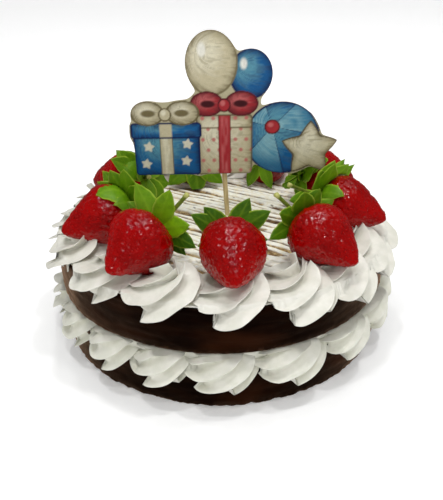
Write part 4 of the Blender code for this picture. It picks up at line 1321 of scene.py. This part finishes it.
# ------------------------------------------------------- stage and lights
def stage():
    me = bpy.data.meshes.new("floor")
    # flat floor that turns up into a low wall far away
    prof = [(0.25, 0.0), (0.5, 0.0), (0.75, 0.0), (1.0, 0.0), (2.0, 0.0), (4.0, 0.0)]
    for k in range(1, 9):
        a = math.radians(90.0 * k / 8.0)
        prof.append((4.0 + 2.0 * math.sin(a), 2.0 - 2.0 * math.cos(a)))
    prof.append((6.0, 4.0))
    turns = 64
    verts = [(0.0, 0.0, -0.0003)]
    for r, z in prof:
        for k in range(turns):
            a = 2.0 * math.pi * k / turns
            verts.append((r * math.cos(a), r * math.sin(a), z - 0.0003))
    faces = [(0, 1 + k, 1 + (k + 1) % turns) for k in range(turns)]
    for row in range(len(prof) - 1):
        for k in range(turns):
            a, b = 1 + row * turns + k, 1 + row * turns + (k + 1) % turns
            faces.append((a, a + turns, b + turns, b))
    me.from_pydata(verts, [], faces)
    me.polygons.foreach_set("use_smooth", [True] * len(faces))
    # painted light: the floor glows, weakly near the cake and more strongly further out
    layer = me.attributes.new("floor_glow", "FLOAT", "POINT")
    floor_glow = [min(1.0, max(0.0, (math.hypot(x, y) - 0.15) / 0.75)) for x, y, z in verts]
    layer.data.foreach_set("value", floor_glow)
    p = Paint("floor_paint", Roughness=0.6, Specular_IOR_Level=0.2)
    p.colour(p.mix(p.remap(p.noise(300.0, 2.0), 0.3, 0.7), lin(247, 247, 247), lin(244, 244, 244)))
    p.shader.inputs["Emission Color"].default_value = (1.0, 1.0, 1.0, 1.0)
    p.link(p.remap(p.value("floor_glow"), 0.0, 1.0, 0.21, 0.50), p.shader.inputs["Emission Strength"])
    me.materials.append(p.mat)
    floor = bpy.data.objects.new("floor", me)
    bpy.context.scene.collection.objects.link(floor)
    floor.visible_glossy = False

    world = bpy.data.worlds.new("studio")
    world.use_nodes = True
    world.node_tree.nodes["Background"].inputs["Color"].default_value = (1.0, 1.0, 1.0, 1.0)
    world.node_tree.nodes["Background"].inputs["Strength"].default_value = 0.10
    bpy.context.scene.world = world

    def area(name, where, aim, size, power, tint=(1.0, 1.0, 1.0)):
        light = bpy.data.lights.new(name, "AREA")
        light.shape = "RECTANGLE"
        light.size, light.size_y = size
        light.energy = power
        light.color = tint
        ob = bpy.data.objects.new(name, light)
        ob.location = where
        ob.rotation_mode = "QUATERNION"
        ob.rotation_quaternion = (Vector(aim) - Vector(where)).to_track_quat("-Z", "Y")
        bpy.context.scene.collection.objects.link(ob)
        return ob

    area("overhead_light", (0.15, 0.20, 1.7), (0.0, 0.0, 0.0), (1.5, 1.5), 7.4)
    area("sparkle_a", (-0.18, -0.22, 1.0), (0.0, 0.0, 0.06), (0.07, 0.07), 1.65)
    area("sparkle_b", (0.22, -0.08, 1.0), (0.0, 0.0, 0.06), (0.07, 0.07), 1.75)
    area("sparkle_c", (0.05, -0.50, 0.90), (0.0, 0.0, 0.06), (0.06, 0.06), 1.1)
    area("sparkle_d", (-0.06, 0.12, 1.1), (0.0, 0.0, 0.06), (0.07, 0.07), 1.0)
    area("front_light", (0.25, -1.1, 0.85), (0.0, 0.0, 0.08), (0.35, 0.35), 0.35)


stage()


def camera():
    """Eye 380 mm from the cake's middle, 29 degrees up, looking at its side."""
    e = math.radians(29.24)
    dist = 380.0
    eye = Vector((0.0, -dist * math.cos(e), dist * math.sin(e) + 35.0))
    fw = Vector((0.0, math.cos(e), -math.sin(e)))
    r = Vector((1.0, 0.0, 0.0))
    u = r.cross(fw)
    b = math.radians(0.682)
    fw, u = fw * math.cos(b) + u * math.sin(b), u * math.cos(b) - fw * math.sin(b)
    c = math.radians(1.037)
    r, u = r * math.cos(c) - u * math.sin(c), u * math.cos(c) + r * math.sin(c)
    data = bpy.data.cameras.new("camera")
    data.sensor_width = 36.0
    data.sensor_fit = "AUTO"
    data.lens = 582.386 / 500.0 * 36.0
    data.clip_start, data.clip_end = 0.01, 50.0
    ob = bpy.data.objects.new("camera", data)
    m = Matrix(((r.x, u.x, -fw.x, eye.x * MM), (r.y, u.y, -fw.y, eye.y * MM),
                (r.z, u.z, -fw.z, eye.z * MM), (0, 0, 0, 1)))
    ob.matrix_world = m
    bpy.context.scene.collection.objects.link(ob)
    bpy.context.scene.camera = ob


camera()
bpy.context.scene.view_settings.view_transform = "Standard"
